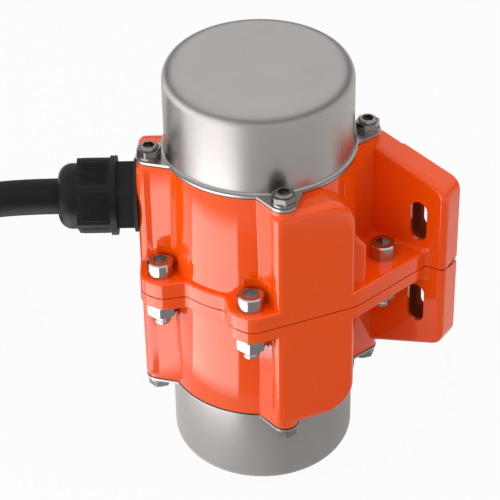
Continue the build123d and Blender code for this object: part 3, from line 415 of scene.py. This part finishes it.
def object_place(tree):
    return node(tree, "ShaderNodeTexCoord").outputs["Object"]


def split(tree, vector):
    made = node(tree, "ShaderNodeSeparateXYZ")
    feed(tree, made.inputs[0], vector)
    return made.outputs


def noise(tree, place, scale, detail):
    made = node(tree, "ShaderNodeTexNoise")
    feed(tree, made.inputs["Vector"], place)
    feed(tree, made.inputs["Scale"], scale)
    feed(tree, made.inputs["Detail"], detail)
    return made.outputs["Fac"]


def new_group(name, entries, results):
    """Node group with its sockets, and the nodes that stand for its inputs and outputs."""
    tree = bpy.data.node_groups.new(name, "ShaderNodeTree")
    for kind, label, value in entries:
        made = tree.interface.new_socket(name=label, in_out="INPUT", socket_type=kind)
        made.default_value = value
    for label in results:
        tree.interface.new_socket(name=label, in_out="OUTPUT", socket_type="NodeSocketFloat")
    return tree, node(tree, "NodeGroupInput").outputs, node(tree, "NodeGroupOutput").inputs


def group_orange_peel():
    """Height and roughness of sprayed paint: fine peel over a slight casting wave."""
    tree, given, result = new_group(
        "sprayed surface",
        [("NodeSocketFloat", "Peel size", 900.0),
         ("NodeSocketFloat", "Peel depth", 0.5),
         ("NodeSocketFloat", "Roughness", 0.2)],
        ["Height", "Roughness", "Cloud"])
    place = object_place(tree)
    peel = noise(tree, place, given["Peel size"], detail=2)
    wave = noise(tree, place, scale=55, detail=3)
    deep = calc(tree, "MULTIPLY", peel, given["Peel depth"])
    change = ramp(tree, wave, low=0.3, high=0.7, at_low=-0.05, at_high=0.06)
    feed(tree, result["Height"], calc(tree, "ADD", deep, wave))
    feed(tree, result["Roughness"], calc(tree, "ADD", change, given["Roughness"]))
    feed(tree, result["Cloud"], wave)
    return tree


def group_fine_lines():
    """Fine lines round the shaft or along it, as drawing, turning or grinding leaves them."""
    tree, given, result = new_group(
        "tool lines",
        [("NodeSocketVector", "Stretch", (1.0, 1.0, 1.0)),
         ("NodeSocketFloat", "Line size", 60.0),
         ("NodeSocketFloat", "Roughness", 0.3),
         ("NodeSocketFloat", "Spread", 0.1)],
        ["Height", "Roughness", "Stain"])
    place = object_place(tree)
    stretched = node(tree, "ShaderNodeVectorMath", operation="MULTIPLY")
    feed(tree, stretched.inputs[0], place)
    feed(tree, stretched.inputs[1], given["Stretch"])
    lines = noise(tree, stretched.outputs[0], given["Line size"], detail=4)
    stain = noise(tree, place, scale=26, detail=4)
    centred = calc(tree, "SUBTRACT", lines, 0.5)
    spread = calc(tree, "MULTIPLY", centred, given["Spread"])
    feed(tree, result["Height"], lines)
    feed(tree, result["Roughness"], calc(tree, "ADD", spread, given["Roughness"]))
    feed(tree, result["Stain"], stain)
    return tree


# The two node groups, once make_finishes has built them
GROUPS = {}


def placed_group(tree, name, **values):
    """Use of a node group. An underscore stands for the space in an input's name."""
    made = node(tree, "ShaderNodeGroup", node_tree=GROUPS[name])
    for key, value in values.items():
        made.inputs[key.replace("_", " ")].default_value = value
    return made.outputs


# Finishes

def new_material(name):
    made = bpy.data.materials.new(name)
    made.use_nodes = True
    tree = made.node_tree
    return made, tree, tree.nodes["Principled BSDF"].inputs


def bump(tree, shader, height, strength, distance=GRAIN_DEPTH):
    made = node(tree, "ShaderNodeBump")
    made.inputs["Strength"].default_value = strength
    made.inputs["Distance"].default_value = distance
    feed(tree, made.inputs["Height"], height)
    feed(tree, shader["Normal"], made.outputs["Normal"])


def tone(colour, factor=1.0):
    """The colour made darker or lighter, with the fourth value that shaders ask for."""
    return tuple(min(1.0, part * factor) for part in colour) + (1.0,)


def painted_slot_shade(tree):
    """1 on the walls of the foot's slots, where painted shade takes the place of the paint, and 0
    elsewhere.
    """
    place = split(tree, object_place(tree))
    total = calc(tree, "GREATER_THAN", place["Y"], SLOT_MOUTH_Y)
    slots = (
        ("X", 0.0, SLOT_X, SLOT_HALF_WIDTH),
        ("Z", PARTING_Z, SLOT_Z, SLOT_HALF_LENGTH),
    )
    for axis, centre, offset, half in slots:
        value = place[axis]
        for step in (centre, offset):
            value = calc(tree, "ABSOLUTE", calc(tree, "SUBTRACT", value, step))
        inside = calc(tree, "LESS_THAN", value, half)
        total = calc(tree, "MULTIPLY", total, inside)
    return total


def gloss_paint(finish):
    made, tree, shader = new_material("gloss orange paint")
    spray = placed_group(tree, "spray", Peel_size=850.0, Peel_depth=0.5,
                         Roughness=finish.paint_roughness)
    sprayed = blend(tree, spray["Cloud"], tone(finish.paint, 0.96), tone(finish.paint, 1.04))
    # Painted shade: the slot walls get a dark colour and lose the gloss coat.
    slot_shade = painted_slot_shade(tree)
    feed(tree, shader["Base Color"], blend(tree, slot_shade, sprayed, tone(SLOT_SHADE_COLOUR)))
    feed(tree, shader["Roughness"], spray["Roughness"])
    coat = ramp(tree, slot_shade, low=0.0, high=1.0, at_low=1.0, at_high=0.0)
    feed(tree, shader["Coat Weight"], coat)
    shader["Specular IOR Level"].default_value = 0.0
    shader["Coat Roughness"].default_value = 0.06
    shader["Coat IOR"].default_value = 1.5
    bump(tree, shader, spray["Height"], strength=0.06)
    return made


def metal(name, colour, roughness, stretch=(1.0, 1.0, 6.0), size=400.0, spread=0.1, depth=0.06,
          tones=(0.9, 1.08)):
    """Metal with fine tool lines and a slight stain between two tones. A last value of stretch
    above 1 lays the lines round the shaft."""
    made, tree, shader = new_material(name)
    lines = placed_group(tree, "lines", Stretch=stretch, Line_size=size, Roughness=roughness,
                         Spread=spread)
    dark, light = (tone(colour, factor) for factor in tones)
    feed(tree, shader["Base Color"], blend(tree, lines["Stain"], dark, light))
    feed(tree, shader["Roughness"], lines["Roughness"])
    shader["Metallic"].default_value = 1.0
    bump(tree, shader, lines["Height"], depth)
    return made


def moulded(name, colour, roughness, size, depth, gloss=0.25):
    """Plastic or rubber with a fine moulded grain."""
    made, tree, shader = new_material(name)
    grain = placed_group(tree, "spray", Peel_size=size, Peel_depth=1.0, Roughness=roughness)
    feed(tree, shader["Base Color"],
         blend(tree, grain["Cloud"], tone(colour, 0.8), tone(colour, 1.3)))
    feed(tree, shader["Roughness"], grain["Roughness"])
    shader["Specular IOR Level"].default_value = gloss
    bump(tree, shader, grain["Height"], depth)
    return made


def laminated():
    """Stacked sheets: fine dark lines across the shaft."""
    made, tree, shader = new_material("stacked laminations")
    height = split(tree, object_place(tree))["Z"]
    wave = calc(tree, "SINE", calc(tree, "MULTIPLY", height, 2 * math.pi / LAMINATION))
    sheet = ramp(tree, wave, low=-1.0, high=-0.6, at_low=0.0, at_high=1.0)
    feed(tree, shader["Base Color"],
         blend(tree, sheet, tone((0.05, 0.05, 0.052)), tone((0.22, 0.22, 0.23))))
    shader["Metallic"].default_value = 1.0
    shader["Roughness"].default_value = 0.42
    bump(tree, shader, sheet, strength=0.3, distance=0.0001)
    return made


def wound_copper():
    """Varnished turns of wire, side by side."""
    made, tree, shader = new_material("varnished copper wire")
    wires = node(tree, "ShaderNodeTexWave", wave_type="RINGS", rings_direction="Z",
                 wave_profile="SIN")
    wires.inputs["Scale"].default_value = 260
    wires.inputs["Distortion"].default_value = 1.5
    feed(tree, wires.inputs["Vector"], object_place(tree))
    feed(tree, shader["Base Color"],
         blend(tree, wires.outputs["Fac"], tone((0.28, 0.07, 0.02)), tone((0.66, 0.22, 0.07))))
    shader["Metallic"].default_value = 0.7
    shader["Roughness"].default_value = 0.35
    shader["Coat Weight"].default_value = 0.6
    bump(tree, shader, wires.outputs["Fac"], strength=0.5, distance=0.0003)
    return made


def make_finishes(finish):
    GROUPS["spray"] = group_orange_peel()
    GROUPS["lines"] = group_fine_lines()
    return {
        "paint": gloss_paint(finish),
        "cap": metal("satin drawn steel", finish.steel, roughness=0.34, stretch=(1, 1, 9),
                     size=130.0, spread=0.12, depth=0.05, tones=(0.92, 1.08)),
        "bright": metal("bright screw steel", finish.bright, roughness=0.16, stretch=(1, 1, 4),
                        size=500.0, spread=0.08, depth=0.04),
        "dark": metal("dark screw steel", (0.27, 0.25, 0.24), roughness=0.22, stretch=(1, 1, 4),
                      size=500.0, spread=0.08, depth=0.04),
        "gasket": moulded("black gasket sheet", (0.02, 0.02, 0.02), roughness=0.7, size=1500.0,
                          depth=0.2),
        "plastic": moulded("moulded gland plastic", finish.plastic, roughness=0.38, size=1800.0,
                           depth=0.15, gloss=0.16),
        "rubber": moulded("lead rubber", finish.rubber, roughness=0.46, size=1200.0, depth=0.2,
                          gloss=0.12),
        "tie": moulded("woven tie", (0.018, 0.018, 0.020), roughness=0.8, size=2600.0, depth=0.5,
                       gloss=0.1),
        "laminations": laminated(),
        "copper": wound_copper(),
        "aluminium": metal("cast aluminium", (0.62, 0.63, 0.64), roughness=0.42, stretch=(1, 1, 1),
                           size=300.0, spread=0.15, depth=0.15),
        "ground": metal("ground steel", (0.50, 0.50, 0.50), roughness=0.22, stretch=(1, 1, 30),
                        size=260.0, spread=0.1, depth=0.05),
        "brass": metal("pressed brass", (0.60, 0.40, 0.13), roughness=0.3),
        "weight": metal("phosphated steel", (0.13, 0.13, 0.135), roughness=0.5, stretch=(1, 1, 1),
                        size=200.0, spread=0.2, depth=0.2),
        "core": moulded("core insulation", (0.10, 0.045, 0.02), roughness=0.4, size=900.0,
                        depth=0.05),
    }


# The materials by finish, once main has had them made
FINISH = {}


def finish_nodes(*kinds):
    for kind in kinds:
        for name in NODE_FINISH[kind]:
            paint_piece(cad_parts[name], FINISH[kind])


# Course of the supply lead

def smooth(value):
    value = min(max(value, 0.0), 1.0)
    return value * value * (3 - 2 * value)


def lead_plan(run):
    """Distance out and distance back on the floor plan, after a run from the gland's mouth."""
    trim = LEAD_BEND_RADIUS * math.tan(LEAD_SWING / 2)
    bend_start = LEAD_BEND_OUT - trim - GLAND_MOUTH
    bend = LEAD_BEND_RADIUS * LEAD_SWING
    straight = LEAD_REACH - trim
    out, back = GLAND_MOUTH + min(run, bend_start), 0.0
    if run <= bend_start:
        return out, back
    turned = min(run - bend_start, bend) / LEAD_BEND_RADIUS
    out += LEAD_BEND_RADIUS * math.sin(turned)
    back += LEAD_BEND_RADIUS * (1 - math.cos(turned))
    if run <= bend_start + bend:
        return out, back
    along = min(run - bend_start - bend, straight)
    out += along * math.cos(LEAD_SWING)
    back += along * math.sin(LEAD_SWING)
    wound = max(run - bend_start - bend - straight, 0.0) / COIL_RADIUS
    heading = LEAD_SWING + wound
    out += COIL_RADIUS * (math.sin(heading) - math.sin(LEAD_SWING))
    back += COIL_RADIUS * (math.cos(LEAD_SWING) - math.cos(heading))
    return out, back


def lead_height(run):
    """Height over the floor after a run on the plan."""
    first = DROP_RADIUS * math.sin(DROP_SLOPE)
    last = LANDING_RADIUS * math.sin(DROP_SLOPE)
    lost = (DROP_RADIUS + LANDING_RADIUS) * (1 - math.cos(DROP_SLOPE))
    straight = (LEAD_HEIGHT - TOP_TURN - lost) / math.tan(DROP_SLOPE)
    gone = run - DROP_START
    if gone <= 0:
        return LEAD_HEIGHT
    if gone <= first:
        return LEAD_HEIGHT - DROP_RADIUS + math.sqrt(DROP_RADIUS ** 2 - gone ** 2)
    if gone <= first + straight:
        start = LEAD_HEIGHT - DROP_RADIUS * (1 - math.cos(DROP_SLOPE))
        return start - (gone - first) * math.tan(DROP_SLOPE)
    left = first + straight + last - gone
    if left > 0:
        return TOP_TURN + LANDING_RADIUS - math.sqrt(LANDING_RADIUS ** 2 - left ** 2)
    crossed = run - CROSSING_START
    first_crossing = smooth(crossed / CROSSING_LENGTH)
    second_crossing = smooth((crossed - 2 * math.pi * COIL_RADIUS) / CROSSING_LENGTH)
    return TOP_TURN - TURN_PITCH * (first_crossing + second_crossing)


def lead_point(run):
    out, back = lead_plan(run)
    return GLAND_OUT * out - GLAND_ACROSS * back + UP * lead_height(run)


class MOTOR_OT_view(bpy.types.Operator):
    """Place the camera where the photograph was taken from"""

    bl_idname = "motor.view"
    bl_label = "Photograph's view"

    def execute(self, context):
        stage = context.scene.motor_stage
        turn, rise = stage.azimuth, stage.elevation
        right = Vector((math.cos(turn), math.sin(turn), 0))
        ahead = Vector((
            -math.sin(turn) * math.cos(rise), math.cos(turn) * math.cos(rise), -math.sin(rise)))
        up = right.cross(ahead)
        upright, lean = math.cos(stage.roll), math.sin(stage.roll)
        right, up = right * upright + up * lean, up * upright - right * lean
        aim = UP * PARTING_Z + right * AIM_RIGHT + up * AIM_UP
        data = bpy.data.cameras.new("photo_camera")
        data.lens = stage.lens
        data.sensor_width = SENSOR_WIDTH_MM
        data.clip_start = CLIP_START
        data.clip_end = CLIP_END
        camera = bpy.data.objects.new("photo_camera", data)
        context.scene.collection.objects.link(camera)
        place = Matrix.Translation(aim - ahead * stage.distance)
        camera.matrix_world = place @ axes(right, up, -ahead)
        context.scene.camera = camera
        return {"FINISHED"}


class MOTOR_OT_core_ends(bpy.types.Operator):
    """Bring the three insulated cores out of the sheath's end to their ferrules"""

    bl_idname = "motor.core_ends"
    bl_label = "Core ends"

    def execute(self, context):
        spoke = GLAND_OUT * math.sin(CORE_TURN) + GLAND_ACROSS * math.cos(CORE_TURN)
        travel = GLAND_OUT * math.cos(CORE_TURN) - GLAND_ACROSS * math.sin(CORE_TURN)
        ahead = travel * math.cos(CORE_SLANT) - spoke * math.sin(CORE_SLANT)
        side = Vector((-ahead.y, ahead.x, 0))
        bend = COIL_MIDDLE + UP * COIL_FLOOR + spoke * COIL_HOLE
        end = bend + ahead * CORE_VISIBLE
        sheath = lead_point(LEAD_END)
        inside = lead_point(LEAD_END - CORE_HIDDEN)
        heading = (sheath - inside).normalized()
        swing = Vector((-heading.y, heading.x, 0))
        outside = sheath + heading * CORE_OUTSIDE
        data = round_curve("core_tails", CORE_RADIUS, section_steps=4, length_steps=8)
        for core in (-1, 0, 1):
            add_smooth_line(data, [
                inside + swing * (core * CORE_PITCH_IN_SHEATH),
                sheath + swing * (core * CORE_PITCH_IN_SHEATH),
                outside + swing * (core * CORE_PITCH_OUTSIDE),
                bend - ahead * CORE_BEND_BEFORE + side * (core * CORE_PITCH_AT_BEND),
                end - ahead * CORE_STRAIGHT_END + side * (core * CORE_PITCH),
                end + side * (core * CORE_PITCH),
            ])
        tails = curve_mesh(data)
        tails.name = "core_tails"
        paint_piece(tails, FINISH["core"])
        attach(tails, "casing")
        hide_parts("core_ends")
        return {"FINISHED"}


class MOTOR_OT_coil_ties(bpy.types.Operator):
    """Hold the coil's turns together with two soft bands"""

    bl_idname = "motor.coil_ties"
    bl_label = "Coil ties"

    def execute(self, context):
        ties = joined([self.band(math.radians(turn)) for turn in TIE_TURNS], "coil_ties")
        paint_piece(ties, FINISH["tie"])
        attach(ties, "casing")
        return {"FINISHED"}

    def section(self):
        """Outline round the stacked turns, whose end laps over its start."""
        points = [(TIE_RADIUS, COIL_FLOOR)]
        for step in range(TIE_STEPS + 1):
            angle = math.pi * step / TIE_STEPS
            points.append((TIE_RADIUS * math.cos(angle), TOP_TURN + TIE_RADIUS * math.sin(angle)))
        for step in range(TIE_STEPS + 1):
            angle = math.pi * (1 + step / TIE_STEPS)
            lap = smooth((step - TIE_STEPS + TIE_LAP_STEPS) / TIE_LAP_STEPS)
            out = TIE_RADIUS + TIE_LAP * lap
            height = max(COIL_FLOOR + out * math.sin(angle), TIE_FLOOR)
            points.append((out * math.cos(angle), height))
        points.append((TIE_RADIUS + TIE_LAP, COIL_FLOOR + TIE_TAIL))
        return points

    def band(self, turn):
        data = bpy.data.curves.new("coil_tie", "CURVE")
        data.dimensions = "2D"
        data.fill_mode = "NONE"
        data.extrude = TIE_WIDTH / 2
        points = self.section()
        spline = data.splines.new("POLY")
        spline.points.add(len(points) - 1)
        for spot, (out, height) in zip(spline.points, points):
            spot.co = (out, height, 0, 1)
        band = curve_mesh(data)
        bpy.ops.object.modifier_add(type="SOLIDIFY")
        wall = band.modifiers[-1]
        wall.thickness = TIE_THICKNESS
        wall.offset = 0
        bpy.ops.object.modifier_apply(modifier=wall.name)
        bpy.ops.object.shade_smooth_by_angle(angle=math.radians(40))
        spoke = GLAND_OUT * math.sin(turn) + GLAND_ACROSS * math.cos(turn)
        place = Matrix.Translation(COIL_MIDDLE + spoke * COIL_RADIUS)
        settle(band, place @ axes(spoke, UP, spoke.cross(UP)))
        return band


class MOTOR_OT_lead(bpy.types.Operator):
    """Lay the supply lead from the gland to its coil on the floor"""

    bl_idname = "motor.lead"
    bl_label = "Supply lead"

    def execute(self, context):
        lead = context.scene.motor_lead
        points = [lead_point(LEAD_END * step / LEAD_STEPS) for step in range(LEAD_STEPS + 1)]
        data = round_curve("supply_lead", lead.diameter / 2, section_steps=8, length_steps=12)
        add_smooth_line(data, points)
        piece = curve_piece(data)
        data.materials.append(FINISH["rubber"])
        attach(piece, "casing")
        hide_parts("cable_lead", "cable_coil")
        return {"FINISHED"}


class MOTOR_OT_castings(bpy.types.Operator):
    """Paint the two castings and finish the gaskets between them"""

    bl_idname = "motor.castings"
    bl_label = "Castings and gaskets"

    def execute(self, context):
        finish_nodes("paint", "gasket")
        return {"FINISHED"}


class MOTOR_OT_caps(bpy.types.Operator):
    """Finish the two drawn steel caps"""

    bl_idname = "motor.caps"
    bl_label = "End caps"

    def execute(self, context):
        finish_nodes("cap")
        return {"FINISHED"}


class MOTOR_OT_fasteners(bpy.types.Operator):
    """Finish screws, nuts and washers, and cut the threads that show under the nuts"""

    bl_idname = "motor.fasteners"
    bl_label = "Screws, nuts and washers"

    def execute(self, context):
        finish_nodes("bright", "dark")
        data = round_curve("screw_threads", THREAD_RIDGE, section_steps=1, length_steps=2)
        for x, y in THREAD_PLACES:
            add_smooth_line(data, self.ridge(x, y))
        threads = curve_mesh(data)
        threads.name = "screw_threads"
        bpy.ops.object.shade_smooth_by_angle(angle=math.radians(50))
        paint_piece(threads, FINISH["bright"])
        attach(threads, "casing")
        return {"FINISHED"}

    def ridge(self, x, y):
        """Points along a thread's ridge, which sinks into the screw at both of its ends."""
        steps = round(THREAD_TURNS * THREAD_STEPS)
        points = []
        for step in range(steps + 1):
            turn = 2 * math.pi * step / THREAD_STEPS
            sunk = max(1 - min(step, steps - step) / THREAD_SINK_STEPS, 0)
            out = THREAD_RADIUS - sunk * 2 * THREAD_RIDGE
            height = THREAD_TOP - THREAD_PITCH * step / THREAD_STEPS
            points.append((x + out * math.cos(turn), y + out * math.sin(turn), height))
        return points


class MOTOR_OT_gland(bpy.types.Operator):
    """Finish the cable gland and the cores in it, and mould the grip ribs of its nut"""

    bl_idname = "motor.gland"
    bl_label = "Cable gland"

    def execute(self, context):
        finish_nodes("plastic", "core")
        ribs = []
        for flat in range(NUT_FLATS):
            spin = math.radians(NUT_TURN + 360 / NUT_FLATS * flat)
            for step in range(RIBS_ON_A_FLAT):
                shift = (step - (RIBS_ON_A_FLAT - 1) / 2) * RIB_PITCH
                ribs.append(self.rib(spin, shift))
        grip = joined(ribs, "gland_grip_ribs")
        paint_piece(grip, FINISH["plastic"])
        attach(grip, "casing")
        return {"FINISHED"}

    def rib(self, spin, shift):
        """One half-sunk bar along the gland's axis, tapered at its outer end."""
        bpy.ops.object.select_all(action="DESELECT")
        bpy.ops.mesh.primitive_cylinder_add(
            vertices=RIB_SIDES, radius=RIB_RADIUS, depth=NUT_END - NUT_START - RIB_SHORTER)
        rib = bpy.context.object
        bpy.ops.object.mode_set(mode="EDIT")
        bpy.ops.mesh.select_all(action="DESELECT")
        mesh = bmesh.from_edit_mesh(rib.data)
        for face in mesh.faces:
            face.select_set(face.normal.z > RIB_END_NORMAL)
        bmesh.update_edit_mesh(rib.data)
        bpy.ops.mesh.extrude_region_move(TRANSFORM_OT_translate={"value": (0, 0, RIB_TIP)})
        bpy.ops.transform.resize(value=(RIB_TIP_SCALE, RIB_TIP_SCALE, 1))
        bpy.ops.object.mode_set(mode="OBJECT")
        side = GLAND_ACROSS * math.cos(spin) + UP * math.sin(spin)
        along = GLAND_OUT.cross(side)
        middle = GLAND_OUT * ((NUT_START + NUT_END) / 2 - RIB_TIP / 2) + UP * LEAD_HEIGHT
        place = Matrix.Translation(middle + side * NUT_FLAT + along * shift)
        settle(rib, place @ axes(side, along, GLAND_OUT))
        return rib


class MOTOR_OT_inner_parts(bpy.types.Operator):
    """Finish stator, rotor, bearings and weights"""

    bl_idname = "motor.inner_parts"
    bl_label = "Inner parts"

    def execute(self, context):
        finish_nodes("laminations", "copper", "aluminium", "ground", "brass", "weight")
        return {"FINISHED"}


class MOTOR_OT_studio(bpy.types.Operator):
    """Lay the floor, light the white room and place the soft boxes"""

    bl_idname = "motor.studio"
    bl_label = "Studio"

    def execute(self, context):
        stage = context.scene.motor_stage
        self.lay_floor(stage)
        self.light_room(context.scene, stage)
        right = Vector((math.cos(stage.azimuth), math.sin(stage.azimuth), 0))
        ahead = Vector((-math.sin(stage.azimuth), math.cos(stage.azimuth), 0))
        middle = UP * PARTING_Z
        for name, to_right, beyond, above, width, height in SOFT_BOXES:
            place = middle + right * to_right + ahead * beyond + UP * above
            self.soft_box(context, name + "_box", getattr(stage, name), place, width, height)
        context.scene.view_settings.view_transform = "Standard"
        return {"FINISHED"}

    def bands(self, tree, stage):
        """Brightness that gloss mirrors in the floor, by bearing and distance from the shaft."""
        place = object_place(tree)
        parts = split(tree, place)
        bearing = calc(tree, "ARCTAN2", parts["Y"], parts["X"])
        length = node(tree, "ShaderNodeVectorMath", operation="LENGTH")
        feed(tree, length.inputs[0], place)
        away = length.outputs["Value"]
        total = 0.0
        for middle, half, soft, lower, casing, foot, top in BANDS:
            turned = calc(tree, "SUBTRACT", bearing, math.radians(middle))
            spread = calc(tree, "ABSOLUTE", calc(tree, "WRAP", turned, math.pi, -math.pi))
            mask = ramp(tree, spread, math.radians(half), math.radians(half + soft), 1.0, 0.0)
            level = calc(tree, "ADD",
                         ramp(tree, away, *CASING_STARTS, lower, casing),
                         ramp(tree, away, *CAP_STARTS, 0.0, foot - casing))
            level = calc(tree, "ADD", level, ramp(tree, away, *CAP_RISES, 0.0, top - foot))
            total = calc(tree, "MULTIPLY_ADD", mask, level, total)
        end = ramp(tree, away, *PAPER_END, stage.bands, stage.horizon)
        return calc(tree, "MULTIPLY", total, end)

    def lay_floor(self, stage):
        """Paper that glows white to the camera, takes shadows and shows its bands to gloss."""
        clear_selection()
        bpy.ops.mesh.primitive_plane_add(size=FLOOR_SIZE, location=(0, 0, FLOOR_Z))
        floor = bpy.context.object
        floor.name = "studio_floor"
        made, tree, shader = new_material("studio floor")
        shader["Base Color"].default_value = tone(stage.floor)
        shader["Roughness"].default_value = FLOOR_ROUGHNESS
        shader["Specular IOR Level"].default_value = 0.0
        ray = node(tree, "ShaderNodeLightPath").outputs
        glow = node(tree, "ShaderNodeEmission")
        glow.inputs["Color"].default_value = (1, 1, 1, 1)
        paper = node(tree, "ShaderNodeMixShader")
        feed(tree, paper.inputs[0], calc(tree, "MULTIPLY", ray["Is Camera Ray"], PAPER_SHARE))
        feed(tree, paper.inputs[1], tree.nodes["Principled BSDF"].outputs[0])
        feed(tree, paper.inputs[2], glow.outputs[0])
        mirrored = node(tree, "ShaderNodeEmission")
        mirrored.inputs["Color"].default_value = tone(BAND_COLOUR)
        feed(tree, mirrored.inputs["Strength"], self.bands(tree, stage))
        either = node(tree, "ShaderNodeMixShader")
        feed(tree, either.inputs[0], ray["Is Glossy Ray"])
        feed(tree, either.inputs[1], paper.outputs[0])
        feed(tree, either.inputs[2], mirrored.outputs[0])
        feed(tree, tree.nodes["Material Output"].inputs["Surface"], either.outputs[0])
        paint_piece(floor, made)

    def light_room(self, scene, stage):
        """White to camera, gloss and glass, dimmer as a lamp, and darker low down in gloss."""
        world = bpy.data.worlds.new("white room")
        scene.world = world
        world.use_nodes = True
        tree = world.node_tree
        back = tree.nodes["Background"].inputs
        back["Color"].default_value = (1, 1, 1, 1)
        ray = node(tree, "ShaderNodeLightPath").outputs
        seen = calc(tree, "MAXIMUM", ray["Is Camera Ray"], ray["Is Glossy Ray"])
        seen = calc(tree, "MAXIMUM", seen, ray["Is Transmission Ray"])
        level = ramp(tree, seen, low=0.0, high=1.0, at_low=stage.surround, at_high=1.0)
        direction = node(tree, "ShaderNodeTexCoord").outputs["Generated"]
        low = ramp(tree, split(tree, direction)["Z"], *HORIZON_BAND, stage.horizon, 1.0)
        band = node(tree, "ShaderNodeMix", data_type="FLOAT")
        feed(tree, band.inputs[0], ray["Is Glossy Ray"])
        feed(tree, band.inputs[2], 1.0)
        feed(tree, band.inputs[3], low)
        feed(tree, back["Strength"], calc(tree, "MULTIPLY", level, band.outputs[0]))

    def soft_box(self, context, name, power, place, width, height):
        """Lamp aimed at the motor's middle. Gloss mirrors the floor's bands instead of it."""
        data = bpy.data.lights.new(name, "AREA")
        data.energy = power
        data.shape = "RECTANGLE"
        data.size = width
        data.size_y = height
        lamp = bpy.data.objects.new(name, data)
        context.scene.collection.objects.link(lamp)
        lamp.location = place
        lamp.visible_glossy = False
        lamp.rotation_mode = "QUATERNION"
        lamp.rotation_quaternion = (UP * PARTING_Z - place).to_track_quat("-Z", "Y")


class MOTOR_PT_panel(bpy.types.Panel):
    bl_idname = "MOTOR_PT_panel"
    bl_label = "Vibration motor"
    bl_space_type = "VIEW_3D"
    bl_region_type = "UI"
    bl_category = "Motor"

    def draw(self, context):
        scene = context.scene
        column = self.layout.column()
        for group in (scene.motor_finish, scene.motor_lead, scene.motor_stage):
            for name in group.__annotations__:
                column.prop(group, name)
        for step in STEPS:
            column.operator(step.bl_idname)


# In the order in which main calls them
STEPS = [
    MOTOR_OT_view,
    MOTOR_OT_core_ends,
    MOTOR_OT_coil_ties,
    MOTOR_OT_lead,
    MOTOR_OT_castings,
    MOTOR_OT_caps,
    MOTOR_OT_fasteners,
    MOTOR_OT_gland,
    MOTOR_OT_inner_parts,
    MOTOR_OT_studio,
]
CLASSES = [MotorFinish, MotorLead, MotorStage, *STEPS, MOTOR_PT_panel]


def register():
    for kind in CLASSES:
        bpy.utils.register_class(kind)
    bpy.types.Scene.motor_finish = bpy.props.PointerProperty(type=MotorFinish)
    bpy.types.Scene.motor_lead = bpy.props.PointerProperty(type=MotorLead)
    bpy.types.Scene.motor_stage = bpy.props.PointerProperty(type=MotorStage)


def unregister():
    del bpy.types.Scene.motor_stage
    del bpy.types.Scene.motor_lead
    del bpy.types.Scene.motor_finish
    for kind in reversed(CLASSES):
        bpy.utils.unregister_class(kind)


def main():
    register()
    FINISH.update(make_finishes(bpy.context.scene.motor_finish))
    bpy.ops.motor.view()
    bpy.ops.motor.core_ends()
    bpy.ops.motor.coil_ties()
    bpy.ops.motor.lead()
    bpy.ops.motor.castings()
    bpy.ops.motor.caps()
    bpy.ops.motor.fasteners()
    bpy.ops.motor.gland()
    bpy.ops.motor.inner_parts()
    bpy.ops.motor.studio()


if __name__ == "__main__":
    main()
